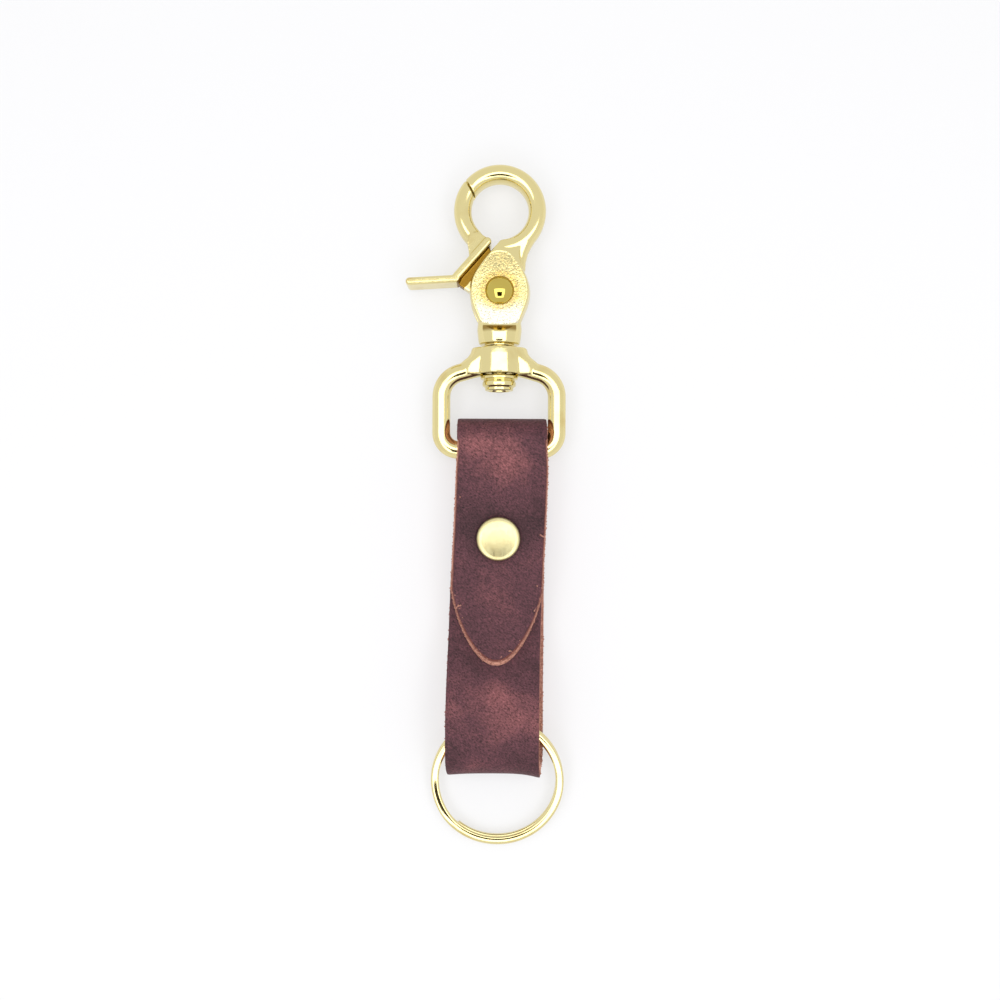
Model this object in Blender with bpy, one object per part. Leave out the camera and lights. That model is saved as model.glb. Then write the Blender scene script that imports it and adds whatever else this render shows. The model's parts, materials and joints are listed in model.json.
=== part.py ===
"""Leather loop key fob with a scissor swivel snap and a split key ring, lying flat on its back.

+Y points to the hook and +Z up. The origin is below the middle of the fob's box, on the plane it lies on.
Pieces are drawn about the axis that they turn on: the eye about its bar, the snap and its gate about the
gate's pivot, the key ring about the line that it swings on. The strap is drawn from the bar's place.
"""

import math

import bmesh
import bpy
from mathutils import Matrix, Vector

MM = 0.001

# Clearances
CLEAR = 0.3 * MM
BOOLEAN_MARGIN = 1.0 * MM

# Leather strap
STRAP_WIDTH = 19.0 * MM
LEATHER = 2.7 * MM
BAR_TO_RIVET = 18.5 * MM
RIVET_TO_FLAP_TIP = 25.8 * MM
FLAP_POINT = 15.0 * MM
FLAP_TIP_WIDTH = 1.2 * MM
RIVET_TO_LOOP_END = 49.1 * MM
RING_LOOP_TAPER = 23.0 * MM
BAR_LOOP_SLACK = 1.7 * MM
INNER_LAYER_TO_BAR = 6.0 * MM
REAR_CAP_LIFT = 0.9 * MM
RIVET_PRESS = 0.12 * MM
RIVET_PRESS_FADE = 1.5 * MM

# Double-cap rivet
CAP_RADIUS = 4.5 * MM
CAP_EDGE = 0.45 * MM
CAP_DOME = 0.65 * MM
POST_RADIUS = 1.0 * MM
SOCKET_WALL = 0.6 * MM
SOCKET_DEPTH = 4.0 * MM

# Swivel eye
EYE_SIDE_ROOM = 0.75 * MM
EYE_WIRE = 3.8 * MM
EYE_INNER_HEIGHT = 14.0 * MM
EYE_CORNER = 3.6 * MM
EYE_SHOULDER = 5.2 * MM
EYE_ARCH = 1.4 * MM
HUB_TOP_WIDTH = 11.6 * MM
HUB_BASE_WIDTH = 16.4 * MM
HUB_HEIGHT = 5.5 * MM
HUB_TOP_DEPTH = 8.8 * MM
HUB_BASE_DEPTH = 6.6 * MM

# Swivel pin and washer
PIN_RADIUS = 1.6 * MM
PIN_HEAD_RADIUS = 3.8 * MM
PIN_HEAD_HEIGHT = 3.2 * MM
PIN_IN_BODY = 2.9 * MM
WASHER_RADIUS = 3.15 * MM
WASHER_THICKNESS = 0.4 * MM

# Snap body, measured from the gate's pivot
COLLAR_RADIUS = 4.4 * MM
COLLAR_HEIGHT = 2.4 * MM
NECK_RADIUS = 3.6 * MM
NECK_HEIGHT = 0.9 * MM
CHEEK_BELOW = 7.3 * MM
CHEEK_WIDTH = 13.2 * MM
CHEEK_DEPTH = 6.7 * MM
CHEEK_ROUND = 0.7 * MM
SLOT = 3.4 * MM
HOOK_ROOT = 9.35 * MM
HOOK_RADIUS = 7.85 * MM
HOOK_WIRE = 3.7 * MM
HOOK_DEPTH_AT_WEB = 3.8 * MM
JOINT_OUTER_ANGLE = 135.0
JOINT_INNER_ANGLE = 157.0

# Gate lever, measured from the pivot
THUMB_REACH = 19.6 * MM
THUMB_THICKNESS = 1.3 * MM
GATE_DEPTH = 6.6 * MM
TANG_CLEAR = 0.4 * MM
TANG_RADIUS = 3.3 * MM

# Pivot rivet
PIVOT_RADIUS = 1.4 * MM
PIVOT_HEAD_RADIUS = 2.95 * MM
PIVOT_HEAD_HEIGHT = 1.25 * MM

# Gate spring
SPRING_WIRE = 0.4 * MM
SPRING_RADIUS = 2.35 * MM
SPRING_TURNS = 1.75
SPRING_PITCH = 0.5 * MM

# Split key ring
RING_BAND = 1.7 * MM
RING_SIDE_ROOM = 2.9 * MM
RING_END_ROOM = 2.75 * MM
RING_FACE_ROOM = 1.9 * MM
RING_AXIS_DROP = 0.8 * MM
RING_COIL = 1.1 * MM
RING_COIL_GAP = 0.2 * MM
RING_JOG = 0.07
RING_END_GAP = 0.012
RING_JOG_ANGLE = 200.0

# Roundness: how many straight sides stand for a full turn
WIRE_SIDES = 12
TURN_SIDES = 28
RING_SIDES = 44

# Sizes of pieces that fit to one another
EYE_INNER_WIDTH = STRAP_WIDTH + 2 * EYE_SIDE_ROOM
HOOK_RISE = HOOK_ROOT + HOOK_RADIUS
TANG_THICKNESS = SLOT - 2 * TANG_CLEAR
RING_HEIGHT = 2 * RING_COIL + RING_COIL_GAP
RING_INNER_RADIUS = STRAP_WIDTH / 2 + RING_SIDE_ROOM
RING_OUTER_RADIUS = RING_INNER_RADIUS + RING_BAND
RING_RADIUS = RING_INNER_RADIUS + RING_BAND / 2
RING_IN_STRAP = RING_OUTER_RADIUS - math.sqrt(RING_INNER_RADIUS**2 - (STRAP_WIDTH / 2) ** 2)
RING_LOOP_INNER = RING_HEIGHT / 2 + RING_FACE_ROOM

# Places along the strap, measured from the bar
BAR_LOOP_INNER = EYE_WIRE / 2 + CLEAR
RIVET_Y = -BAR_TO_RIVET
FLAP_TIP_Y = RIVET_Y - RIVET_TO_FLAP_TIP
LOOP_END_Y = RIVET_Y - RIVET_TO_LOOP_END
RING_LOOP_CENTRE_Y = LOOP_END_Y + RING_LOOP_INNER + LEATHER
RING_TOP_Y = LOOP_END_Y + LEATHER + RING_END_ROOM + RING_IN_STRAP
TAPER_BASE_Y = RING_TOP_Y - RING_BAND
TAPER_TOP_Y = TAPER_BASE_Y + RING_LOOP_TAPER

# Heights above the plane that the fob lies on
LAYER_PITCH = LEATHER + CLEAR
BACK_Z = REAR_CAP_LIFT + LEATHER / 2
MIDDLE_Z = BACK_Z + LAYER_PITCH
FRONT_Z = MIDDLE_Z + LAYER_PITCH
STRAP_TOP_Z = FRONT_Z + LEATHER / 2
BAR_Z = LEATHER + BAR_LOOP_INNER
BAR_LOOP_RADIUS = BAR_LOOP_INNER + LEATHER / 2
RING_LOOP_Z = LEATHER + RING_LOOP_INNER
RING_LOOP_RADIUS = RING_LOOP_INNER + LEATHER / 2

# Places along the swivel, measured from the bar
HUB_BASE_Y = EYE_WIRE / 2 + EYE_INNER_HEIGHT
HUB_TOP_Y = HUB_BASE_Y + HUB_HEIGHT
COLLAR_Y = HUB_TOP_Y + WASHER_THICKNESS + 2 * CLEAR
PIVOT_Y = COLLAR_Y + COLLAR_HEIGHT + NECK_HEIGHT + CHEEK_BELOW

# Key ring: the line that it swings on, and the tilt that brings its far side down to the plane
RING_AXIS_Y = RING_TOP_Y - RING_IN_STRAP / 2
RING_AXIS_Z = RING_LOOP_Z - RING_AXIS_DROP
RING_AXIS_TO_CENTRE = RING_OUTER_RADIUS - RING_IN_STRAP / 2
RING_TILT = math.asin((RING_AXIS_Z - RING_HEIGHT / 2) / (RING_AXIS_TO_CENTRE + RING_OUTER_RADIUS))

# Where the bar lies, which puts the origin below the middle of the box
FOB_TOP = PIVOT_Y + HOOK_RISE + HOOK_RADIUS + HOOK_WIRE / 2
FOB_BOTTOM = RING_AXIS_Y - (RING_AXIS_TO_CENTRE + RING_OUTER_RADIUS) * math.cos(RING_TILT)
BAR_X = (THUMB_REACH - EYE_INNER_WIDTH / 2 - EYE_WIRE) / 2
BAR_Y = -(FOB_TOP + FOB_BOTTOM) / 2

FINISHES = {
    "burgundy_leather": ((0.13, 0.05, 0.055), 0.0, 0.6),
    "polished_brass": ((0.84, 0.68, 0.32), 1.0, 0.18),
    "antique_brass": ((0.62, 0.52, 0.24), 1.0, 0.38),
    "spring_steel": ((0.55, 0.55, 0.56), 1.0, 0.3),
}


# Tools


def clear_scene():
    for obj in list(bpy.data.objects):
        bpy.data.objects.remove(obj)


def material(node, finish):
    colour, metallic, roughness = FINISHES[finish]
    made = bpy.data.materials.new(f"{node}_{finish}")
    made.use_nodes = True
    shader = made.node_tree.nodes["Principled BSDF"]
    shader.inputs["Base Color"].default_value = (*colour, 1.0)
    shader.inputs["Metallic"].default_value = metallic
    shader.inputs["Roughness"].default_value = roughness
    return made


def axis_empty(name, place):
    empty = bpy.data.objects.new(name, None)
    empty.empty_display_size = 5 * MM
    empty.location = place
    bpy.context.collection.objects.link(empty)
    return empty


def to_object(bm, name, parent):
    """Turns a bmesh into a smooth-shaded object on its parent's axis, with its faces pointing out."""
    bmesh.ops.recalc_face_normals(bm, faces=bm.faces)
    mesh = bpy.data.meshes.new(name)
    bm.to_mesh(mesh)
    bm.free()
    mesh.shade_smooth()
    mesh.set_sharp_from_angle(angle=math.radians(35))
    obj = bpy.data.objects.new(name, mesh)
    bpy.context.collection.objects.link(obj)
    obj.parent = parent
    return obj


def piece(bm, name, parent, finish):
    obj = to_object(bm, name, parent)
    obj.data.materials.append(material(name, finish))
    return obj


def helper(bm, name, parent):
    """A cutter or an addition for a Boolean, which isn't a piece itself."""
    obj = to_object(bm, name, parent)
    obj.hide_render = True
    obj.display_type = "WIRE"
    return obj


def combine(obj, operation, *others):
    for other in others:
        modifier = obj.modifiers.new(f"{operation.lower()}_{other.name}", "BOOLEAN")
        modifier.operation = operation
        modifier.solver = "EXACT"
        modifier.object = other


def swept(rings, closed=False):
    """A solid through rings of points, closed on itself or with a face at each end."""
    bm = bmesh.new()
    loops = [[bm.verts.new(point) for point in ring] for ring in rings]
    pairs = list(zip(loops, loops[1:]))
    if closed:
        pairs.append((loops[-1], loops[0]))
    else:
        bm.faces.new(loops[0])
        bm.faces.new(loops[-1])
    for ring, following in pairs:
        for i in range(len(ring)):
            j = (i + 1) % len(ring)
            bm.faces.new((ring[i], ring[j], following[j], following[i]))
    return bm


def turned(profile, sides=TURN_SIDES, axis="Z"):
    """A solid turned from (radius, height) points that start and end on the axis."""
    bm = bmesh.new()
    verts = [bm.verts.new((radius, 0, height)) for radius, height in profile]
    edges = [bm.edges.new(pair) for pair in zip(verts, verts[1:])]
    bmesh.ops.spin(
        bm,
        geom=verts + edges,
        cent=(0, 0, 0),
        axis=(0, 0, 1),
        angle=2 * math.pi,
        steps=sides,
        use_merge=True,
    )
    bmesh.ops.remove_doubles(bm, verts=bm.verts, dist=1e-7)
    if axis == "Y":
        bm.transform(Matrix.Rotation(-math.pi / 2, 4, "X"))
    return bm


def extruded(outline, low, high, along="Z"):
    """A solid of one outline, from low to high along Z, or along X for an outline in Y and Z."""
    if along == "Z":
        rings = [[Vector((a, b, level)) for a, b in outline] for level in (low, high)]
    else:
        rings = [[Vector((level, a, b)) for a, b in outline] for level in (low, high)]
    return swept(rings)


def wire_ring(centre, out, up, radius, sides=WIRE_SIDES):
    """Points of a round section, in the plane of two unit vectors."""
    steps = [2 * math.pi * (i + 0.5) / sides for i in range(sides)]
    return [centre + radius * (math.cos(t) * out + math.sin(t) * up) for t in steps]


def arc_wire(centre, radius, wire, start, end, steps):
    """A bent round bar in the XY plane, between two angles in degrees."""
    up = Vector((0, 0, 1))
    rings = []
    for i in range(steps + 1):
        angle = math.radians(start + (end - start) * i / steps)
        out = Vector((math.cos(angle), math.sin(angle), 0))
        rings.append(wire_ring(Vector(centre) + radius * out, out, up, wire / 2))
    return swept(rings)


def smooth_step(value):
    value = min(max(value, 0.0), 1.0)
    return value * value * (3 - 2 * value)


# Strap


def taper(y):
    """0 where the layers lie together, 1 where the loop round the key ring is fully open."""
    return smooth_step((TAPER_TOP_Y - y) / (TAPER_TOP_Y - TAPER_BASE_Y))


def towards_bar(y):
    """0 at the rivet, 1 at the loop round the bar."""
    return smooth_step((y - RIVET_Y - CAP_RADIUS) / (BAR_TO_RIVET - 2 * CAP_RADIUS))


def pressed(y):
    """How far the rivet squeezes the outer layers inwards."""
    beyond = abs(y - RIVET_Y) - CAP_RADIUS
    return RIVET_PRESS * (1 - smooth_step(beyond / RIVET_PRESS_FADE))


def middle_z(y):
    """The layer under the flap: midway between its neighbours above the rivet, rising to the loop below it."""
    midway = MIDDLE_Z + (BAR_Z - MIDDLE_Z) * towards_bar(y)
    return midway + (RING_LOOP_Z + RING_LOOP_RADIUS - MIDDLE_Z) * taper(y)


def front_z(y):
    flat = FRONT_Z + (BAR_Z + BAR_LOOP_RADIUS - FRONT_Z) * towards_bar(y)
    raised = FRONT_Z + (RING_LOOP_Z + RING_LOOP_RADIUS - MIDDLE_Z) * taper(y)
    return max(flat, raised) - pressed(y)


def back_z(y):
    lowered = max(taper(y), towards_bar(y))
    return BACK_Z + (LEATHER / 2 - BACK_Z) * lowered + pressed(y)


def run(start, end, height, steps):
    """Points (y, z) of one layer's middle, between two places along the strap."""
    places = [start + (end - start) * i / steps for i in range(steps + 1)]
    return [(y, height(y)) for y in places]


def fold(centre_y, centre_z, radius, start, turn, steps):
    """Points (y, z) of a half turn, without its two ends."""
    angles = [math.radians(start + turn * i / steps) for i in range(1, steps)]
    return [(centre_y + radius * math.cos(a), centre_z + radius * math.sin(a)) for a in angles]


def flap_places(steps=12):
    """Places along the point of the flap: a parabola that eases into the straight sides."""
    blunt = FLAP_TIP_WIDTH / STRAP_WIDTH
    shares = [blunt + (1 - blunt) * i / steps for i in range(steps)]
    return [(FLAP_TIP_Y + FLAP_POINT * (0.83 * share**2 + 0.17 * share**10), share) for share in shares]


def strap_line():
    """The leather's middle line from the flap's tip to the hidden end, as (y, z, share of full width)."""
    point = [(y, front_z(y), share) for y, share in flap_places()]
    line = run(FLAP_TIP_Y + FLAP_POINT, BAR_LOOP_SLACK, front_z, 14)
    line += fold(BAR_LOOP_SLACK, BAR_Z, BAR_LOOP_RADIUS, 90, -180, 12)
    line += run(BAR_LOOP_SLACK, RING_LOOP_CENTRE_Y, back_z, 26)
    line += fold(RING_LOOP_CENTRE_Y, RING_LOOP_Z, RING_LOOP_RADIUS, -90, -180, 14)
    line += run(RING_LOOP_CENTRE_Y, -INNER_LAYER_TO_BAR, middle_z, 26)
    return point + [(y, z, 1.0) for y, z in line]


def strap_solid():
    line = strap_line()
    rings = []
    for i, (y, z, share) in enumerate(line):
        before = line[max(i - 1, 0)]
        after = line[min(i + 1, len(line) - 1)]
        along = Vector((0, after[0] - before[0], after[1] - before[1])).normalized()
        out = Vector((0, -along.z, along.y)) * LEATHER / 2
        side = Vector((STRAP_WIDTH / 2 * share, 0, 0))
        middle = Vector((0, y, z))
        rings.append([middle - side - out, middle + side - out, middle + side + out, middle - side + out])
    return swept(rings)


def make_strap(parent):
    strap = piece(strap_solid(), "strap", parent, "burgundy_leather")
    radius = POST_RADIUS + CLEAR + SOCKET_WALL + CLEAR
    low = -BOOLEAN_MARGIN
    high = STRAP_TOP_Z + BOOLEAN_MARGIN
    bore = helper(turned([(0, high), (radius, high), (radius, low), (0, low)]), "strap_rivet_hole", parent)
    bore.location.y = RIVET_Y
    combine(strap, "DIFFERENCE", bore)


# Double-cap rivet, drawn from the plane that the fob lies on


def cap_dome(base, way):
    """Half outline of a domed cap, from its crown to its rim and its base."""
    crown = base + way * (CAP_EDGE + CAP_DOME)
    arc = [math.radians(a) for a in (90, 70, 50, 30, 12)]
    dome = [(CAP_RADIUS * math.cos(a), base + way * (CAP_EDGE + CAP_DOME * math.sin(a))) for a in arc[1:]]
    rim = [(CAP_RADIUS, base + way * CAP_EDGE * 0.7), (CAP_RADIUS * 0.97, base)]
    return [(0, crown)] + dome + rim


def make_rivet(parent):
    base = STRAP_TOP_Z - RIVET_PRESS + CLEAR
    socket = POST_RADIUS + CLEAR
    mouth = base - SOCKET_DEPTH
    bore = [(socket + SOCKET_WALL, base), (socket + SOCKET_WALL, mouth), (socket, mouth), (socket, base), (0, base)]
    cap = piece(turned(cap_dome(base, 1) + bore), "rivet_cap", parent, "antique_brass")
    cap.location.y = RIVET_Y
    rear = BACK_Z - LEATHER / 2 + RIVET_PRESS - CLEAR
    post = [(POST_RADIUS, rear), (POST_RADIUS, base - CLEAR), (0, base - CLEAR)]
    rear_cap = rear_dome(rear) + post
    made = piece(turned(rear_cap), "rivet_post", parent, "antique_brass")
    made.location.y = RIVET_Y


def rear_dome(base):
    """The rear cap is pressed flat enough to stay above the plane."""
    height = base
    arc = [math.radians(a) for a in (65, 35, 12)]
    dome = [(CAP_RADIUS * math.cos(a), base - height * math.sin(a) * 0.7 - height * 0.3) for a in arc]
    return [(0, 0)] + dome + [(CAP_RADIUS * 0.97, base)]


# Swivel eye and its pin


def eye_line():
    """The middle line of the frame's wire, from the middle of the bar round to the middle of the bar."""
    half = (EYE_INNER_WIDTH + EYE_WIRE) / 2
    top = HUB_BASE_Y + EYE_WIRE / 2
    shoulder = top - EYE_ARCH
    corner = [math.radians(a) for a in range(-90, 1, 18)]
    line = [Vector((half * share - EYE_CORNER * share, 0, 0)) for share in (0.0, 0.5)]
    line += [
        Vector((half - EYE_CORNER + EYE_CORNER * math.cos(a), EYE_CORNER + EYE_CORNER * math.sin(a), 0))
        for a in corner
    ]
    bend = [math.radians(a) for a in range(0, 76, 15)]
    line += [
        Vector((half - EYE_SHOULDER * (1 - math.cos(a)), shoulder - EYE_SHOULDER * (1 - math.sin(a)), 0))
        for a in bend
    ]
    line += [Vector((half * 0.4, top - 0.25 * EYE_ARCH, 0)), Vector((half * 0.2, top, 0))]
    mirrored = [Vector((-p.x, p.y, 0)) for p in reversed(line[1:])]
    return line + [Vector((0, top, 0))] + mirrored


def eye_frame():
    line = eye_line()
    up = Vector((0, 0, 1))
    rings = []
    for i, point in enumerate(line):
        along = (line[(i + 1) % len(line)] - line[i - 1]).normalized()
        rings.append(wire_ring(point, along.cross(up), up, EYE_WIRE / 2))
    return swept(rings, closed=True)


def hub():
    """A bell of oval sections: narrow and deep at the top, wide and thin where it meets the frame."""
    shares = ((0.0, 0.92), (0.08, 1.0), (0.35, 1.0), (0.65, 1.0), (0.85, 1.0), (1.0, 0.9))
    rings = []
    for share, fullness in shares:
        flare = smooth_step(share)
        half_x = (HUB_TOP_WIDTH + (HUB_BASE_WIDTH - HUB_TOP_WIDTH) * flare) / 2 * fullness
        half_z = (HUB_TOP_DEPTH + (HUB_BASE_DEPTH - HUB_TOP_DEPTH) * flare) / 2 * fullness
        turn = [2 * math.pi * i / TURN_SIDES for i in range(TURN_SIDES)]
        y = HUB_TOP_Y - share * HUB_HEIGHT
        rings.append([Vector((half_x * math.cos(a), y, half_z * math.sin(a))) for a in turn])
    return swept(rings)


def make_eye(parent):
    eye = piece(eye_frame(), "swivel_eye", parent, "polished_brass")
    boss = helper(hub(), "eye_hub", parent)
    radius = PIN_RADIUS + CLEAR
    low = HUB_BASE_Y - EYE_WIRE
    high = HUB_TOP_Y + BOOLEAN_MARGIN
    bore = helper(turned([(0, high), (radius, high), (radius, low), (0, low)], axis="Y"), "eye_bore", parent)
    combine(eye, "UNION", boss)
    combine(eye, "DIFFERENCE", bore)


def make_pin(parent):
    """The pin's shank runs through the hub, and its round head sits inside the frame."""
    head_top = HUB_BASE_Y - CLEAR
    head_low = head_top - PIN_HEAD_HEIGHT
    shank_top = COLLAR_Y + PIN_IN_BODY
    profile = [
        (0, shank_top),
        (PIN_RADIUS, shank_top),
        (PIN_RADIUS, head_top),
        (PIN_HEAD_RADIUS * 0.92, head_top),
        (PIN_HEAD_RADIUS, head_top - 0.25 * PIN_HEAD_HEIGHT),
        (PIN_HEAD_RADIUS * 0.95, head_top - 0.6 * PIN_HEAD_HEIGHT),
        (PIN_HEAD_RADIUS * 0.72, head_top - 0.9 * PIN_HEAD_HEIGHT),
        (PIN_HEAD_RADIUS * 0.5, head_low),
        (0, head_low),
    ]
    piece(turned(profile, axis="Y"), "swivel_pin", parent, "polished_brass")


def make_washer(parent):
    low = HUB_TOP_Y + CLEAR
    high = low + WASHER_THICKNESS
    inner = PIN_RADIUS + CLEAR
    rings = []
    for i in range(TURN_SIDES):
        angle = 2 * math.pi * i / TURN_SIDES
        out = Vector((math.cos(angle), 0, math.sin(angle)))
        section = ((inner, low), (WASHER_RADIUS, low), (WASHER_RADIUS, high), (inner, high))
        rings.append([out * radius + Vector((0, y, 0)) for radius, y in section])
    piece(swept(rings, closed=True), "swivel_washer", parent, "polished_brass")


# Snap body, drawn about the gate's pivot


def cheek_outline():
    """The cheeks seen from the front: a vase that runs up into the root of the hook."""
    half = CHEEK_WIDTH / 2
    foot = COLLAR_RADIUS - 0.45 * MM
    left = [
        (0.0, HOOK_ROOT + HOOK_WIRE / 2 - 0.2 * MM),
        (-1.7 * MM, 9.0 * MM),
        (-4.5 * MM, 5.5 * MM),
        (-0.94 * half, 3.0 * MM),
        (-half, 0.3 * MM),
        (-0.94 * half, -2.7 * MM),
        (-0.76 * half, -5.6 * MM),
        (-foot, -CHEEK_BELOW),
    ]
    right = [
        (foot, -CHEEK_BELOW),
        (0.76 * half, -5.2 * MM),
        (0.94 * half, -2.3 * MM),
        (half, 0.1 * MM),
        (0.93 * half, 2.6 * MM),
        (4.6 * MM, 5.5 * MM),
        (4.1 * MM, 8.2 * MM),
        (4.5 * MM, 9.6 * MM),
        (3.3 * MM, 11.7 * MM),
        (1.6 * MM, 11.2 * MM),
    ]
    return left + right


def slot_outline():
    """The space between the cheeks, open to the left and closed by a wall on the right."""
    return [
        (-12.0 * MM, -6.2 * MM),
        (-2.2 * MM, -6.2 * MM),
        (1.6 * MM, -4.2 * MM),
        (3.5 * MM, -2.2 * MM),
        (4.0 * MM, 0.0),
        (3.5 * MM, 2.2 * MM),
        (2.1 * MM, 4.6 * MM),
        (-0.9 * MM, 10.9 * MM),
        (-12.0 * MM, 14.0 * MM),
    ]


def depth_cutters(name, start_y, start_depth, end_y, end_depth, parent):
    """Two wedges that thin a piece from one depth to another between two places, front and back."""
    cutters = []
    far = end_y + 4 * MM
    for way, side in ((1, "front"), (-1, "back")):
        outline = [
            (start_y, way * start_depth / 2),
            (end_y, way * end_depth / 2),
            (far, way * end_depth / 2),
            (far, way * start_depth),
            (start_y, way * start_depth),
        ]
        bm = extruded(outline, -10 * MM, 10 * MM, along="X")
        cutters.append(helper(bm, f"{name}_{side}", parent))
    return cutters


def joint_ends():
    """The line on which the hook's nose and the gate's tip meet, from its outer to its inner end."""
    centre = Vector((0, HOOK_RISE, 0))
    ends = []
    for angle, radius in (
        (JOINT_OUTER_ANGLE, HOOK_RADIUS + HOOK_WIRE / 2),
        (JOINT_INNER_ANGLE, HOOK_RADIUS - HOOK_WIRE / 2),
    ):
        turn = math.radians(angle)
        ends.append(centre + radius * Vector((math.cos(turn), math.sin(turn), 0)))
    return ends


def joint_cutter(name, towards_gate, parent):
    """A block whose one face is the slanted joint, less half the clearance."""
    outer, inner = joint_ends()
    along = (inner - outer).normalized()
    side = Vector((along.y, -along.x, 0)) * (1 if towards_gate else -1)
    start = outer - along * 6 * MM - side * CLEAR / 2
    end = inner + along * 2 * MM - side * CLEAR / 2
    corners = [start, end, end + side * 14 * MM, start + side * 14 * MM]
    outline = [(corner.x, corner.y) for corner in corners]
    return helper(extruded(outline, -4 * MM, 4 * MM), name, parent)


def pivot_bore(name, parent):
    radius = PIVOT_RADIUS + CLEAR
    reach = CHEEK_DEPTH / 2 + BOOLEAN_MARGIN
    return helper(turned([(0, reach), (radius, reach), (radius, -reach), (0, -reach)]), name, parent)


def collar():
    base = -(CHEEK_BELOW + NECK_HEIGHT + COLLAR_HEIGHT)
    profile = [
        (0, -CHEEK_BELOW + 0.6 * MM),
        (NECK_RADIUS, -CHEEK_BELOW + 0.6 * MM),
        (NECK_RADIUS, base + COLLAR_HEIGHT),
        (COLLAR_RADIUS, base + 0.75 * COLLAR_HEIGHT),
        (COLLAR_RADIUS, base + 0.25 * COLLAR_HEIGHT),
        (COLLAR_RADIUS - 0.5 * MM, base),
        (0, base),
    ]
    return turned(profile, axis="Y")


def make_hook_body(parent):
    half = CHEEK_DEPTH / 2
    body = piece(extruded(cheek_outline(), -half, half), "hook_body", parent, "polished_brass")
    bevel = body.modifiers.new("rounded_edges", "BEVEL")
    bevel.width = CHEEK_ROUND
    bevel.segments = 2
    bevel.limit_method = "ANGLE"
    bevel.angle_limit = math.radians(60)
    thinner = depth_cutters("web_depth", 3.5 * MM, CHEEK_DEPTH, 11.0 * MM, HOOK_DEPTH_AT_WEB, parent)
    slot = helper(extruded(slot_outline(), -SLOT / 2, SLOT / 2), "cheek_slot", parent)
    hook = helper(arc_wire((0, HOOK_RISE, 0), HOOK_RADIUS, HOOK_WIRE, -78, 160, 24), "hook_wire", parent)
    joint = joint_cutter("nose_cut", True, parent)
    neck = helper(collar(), "neck_and_collar", parent)
    base = -(CHEEK_BELOW + NECK_HEIGHT + COLLAR_HEIGHT)
    radius = PIN_RADIUS + CLEAR
    top = base + PIN_IN_BODY + CLEAR
    low = base - BOOLEAN_MARGIN
    socket = helper(turned([(0, top), (radius, top), (radius, low), (0, low)], axis="Y"), "pin_socket", parent)
    combine(body, "DIFFERENCE", *thinner)
    combine(body, "UNION", hook, neck)
    combine(body, "DIFFERENCE", slot, joint, pivot_bore("cheek_bore", parent), socket)


def make_pivot_rivet(parent):
    """One shank through both cheeks, with a dome on the front and one on the back."""
    seat = CHEEK_DEPTH / 2 + CLEAR
    arc = [math.radians(a) for a in (90, 68, 46, 24, 0)]
    dome = [(PIVOT_HEAD_RADIUS * math.cos(a), seat + PIVOT_HEAD_HEIGHT * math.sin(a)) for a in arc]
    dome[0] = (0, seat + PIVOT_HEAD_HEIGHT)
    upper = dome + [(PIVOT_RADIUS, seat)]
    lower = [(radius, -height) for radius, height in reversed(upper)]
    piece(turned(upper + lower), "pivot_rivet", parent, "polished_brass")


# Gate lever


def gate_outline():
    """The web that covers the slot and the thumb plate that runs out from it, seen from the front."""
    inner_edge = HOOK_ROOT + 2.55 * MM
    return [
        (-1.5 * MM, 9.9 * MM),
        (-2.1 * MM, 10.6 * MM),
        (-4.2 * MM, inner_edge),
        (-7.0 * MM, 9.6 * MM),
        (-6.5 * MM, 6.6 * MM),
        (-7.6 * MM, 5.0 * MM),
        (-9.4 * MM, 3.5 * MM),
        (-THUMB_REACH, 1.55 * MM + THUMB_THICKNESS),
        (-THUMB_REACH, 1.55 * MM),
        (-9.0 * MM, 2.2 * MM),
        (-8.5 * MM, 2.9 * MM),
    ]


def tang_outline():
    """The plate that reaches from the web into the slot and round the pivot."""
    turn = [math.radians(a) for a in range(-130, 61, 19)]
    hub_arc = [(TANG_RADIUS * math.cos(a), TANG_RADIUS * math.sin(a)) for a in turn]
    return hub_arc + [(-2.1 * MM, 9.9 * MM), (-8.6 * MM, 3.3 * MM), (-7.2 * MM, -1.4 * MM)]


def spring_pocket(parent):
    """The recess in the tang's back that holds the spring's coil."""
    radius = TANG_RADIUS + BOOLEAN_MARGIN
    floor = -0.05 * MM
    low = -TANG_THICKNESS
    return helper(turned([(0, floor), (radius, floor), (radius, low), (0, low)]), "spring_pocket", parent)


def make_gate(parent):
    half = GATE_DEPTH / 2
    gate = piece(extruded(gate_outline(), -half, half), "gate_lever", parent, "polished_brass")
    bevel = gate.modifiers.new("rounded_edges", "BEVEL")
    bevel.width = 0.35 * MM
    bevel.segments = 1
    bevel.limit_method = "ANGLE"
    bevel.angle_limit = math.radians(60)
    thinner = depth_cutters("arm_depth", 6.2 * MM, GATE_DEPTH, 11.0 * MM, HOOK_WIRE, parent)
    arm = helper(arc_wire((0, HOOK_RISE, 0), HOOK_RADIUS, HOOK_WIRE, 128, 236, 12), "gate_arm", parent)
    tang = helper(extruded(tang_outline(), -TANG_THICKNESS / 2, TANG_THICKNESS / 2), "gate_tang", parent)
    joint = joint_cutter("tip_cut", False, parent)
    combine(gate, "DIFFERENCE", *thinner)
    combine(gate, "UNION", arm, tang)
    combine(gate, "DIFFERENCE", joint, spring_pocket(parent), pivot_bore("gate_bore", parent))


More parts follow.
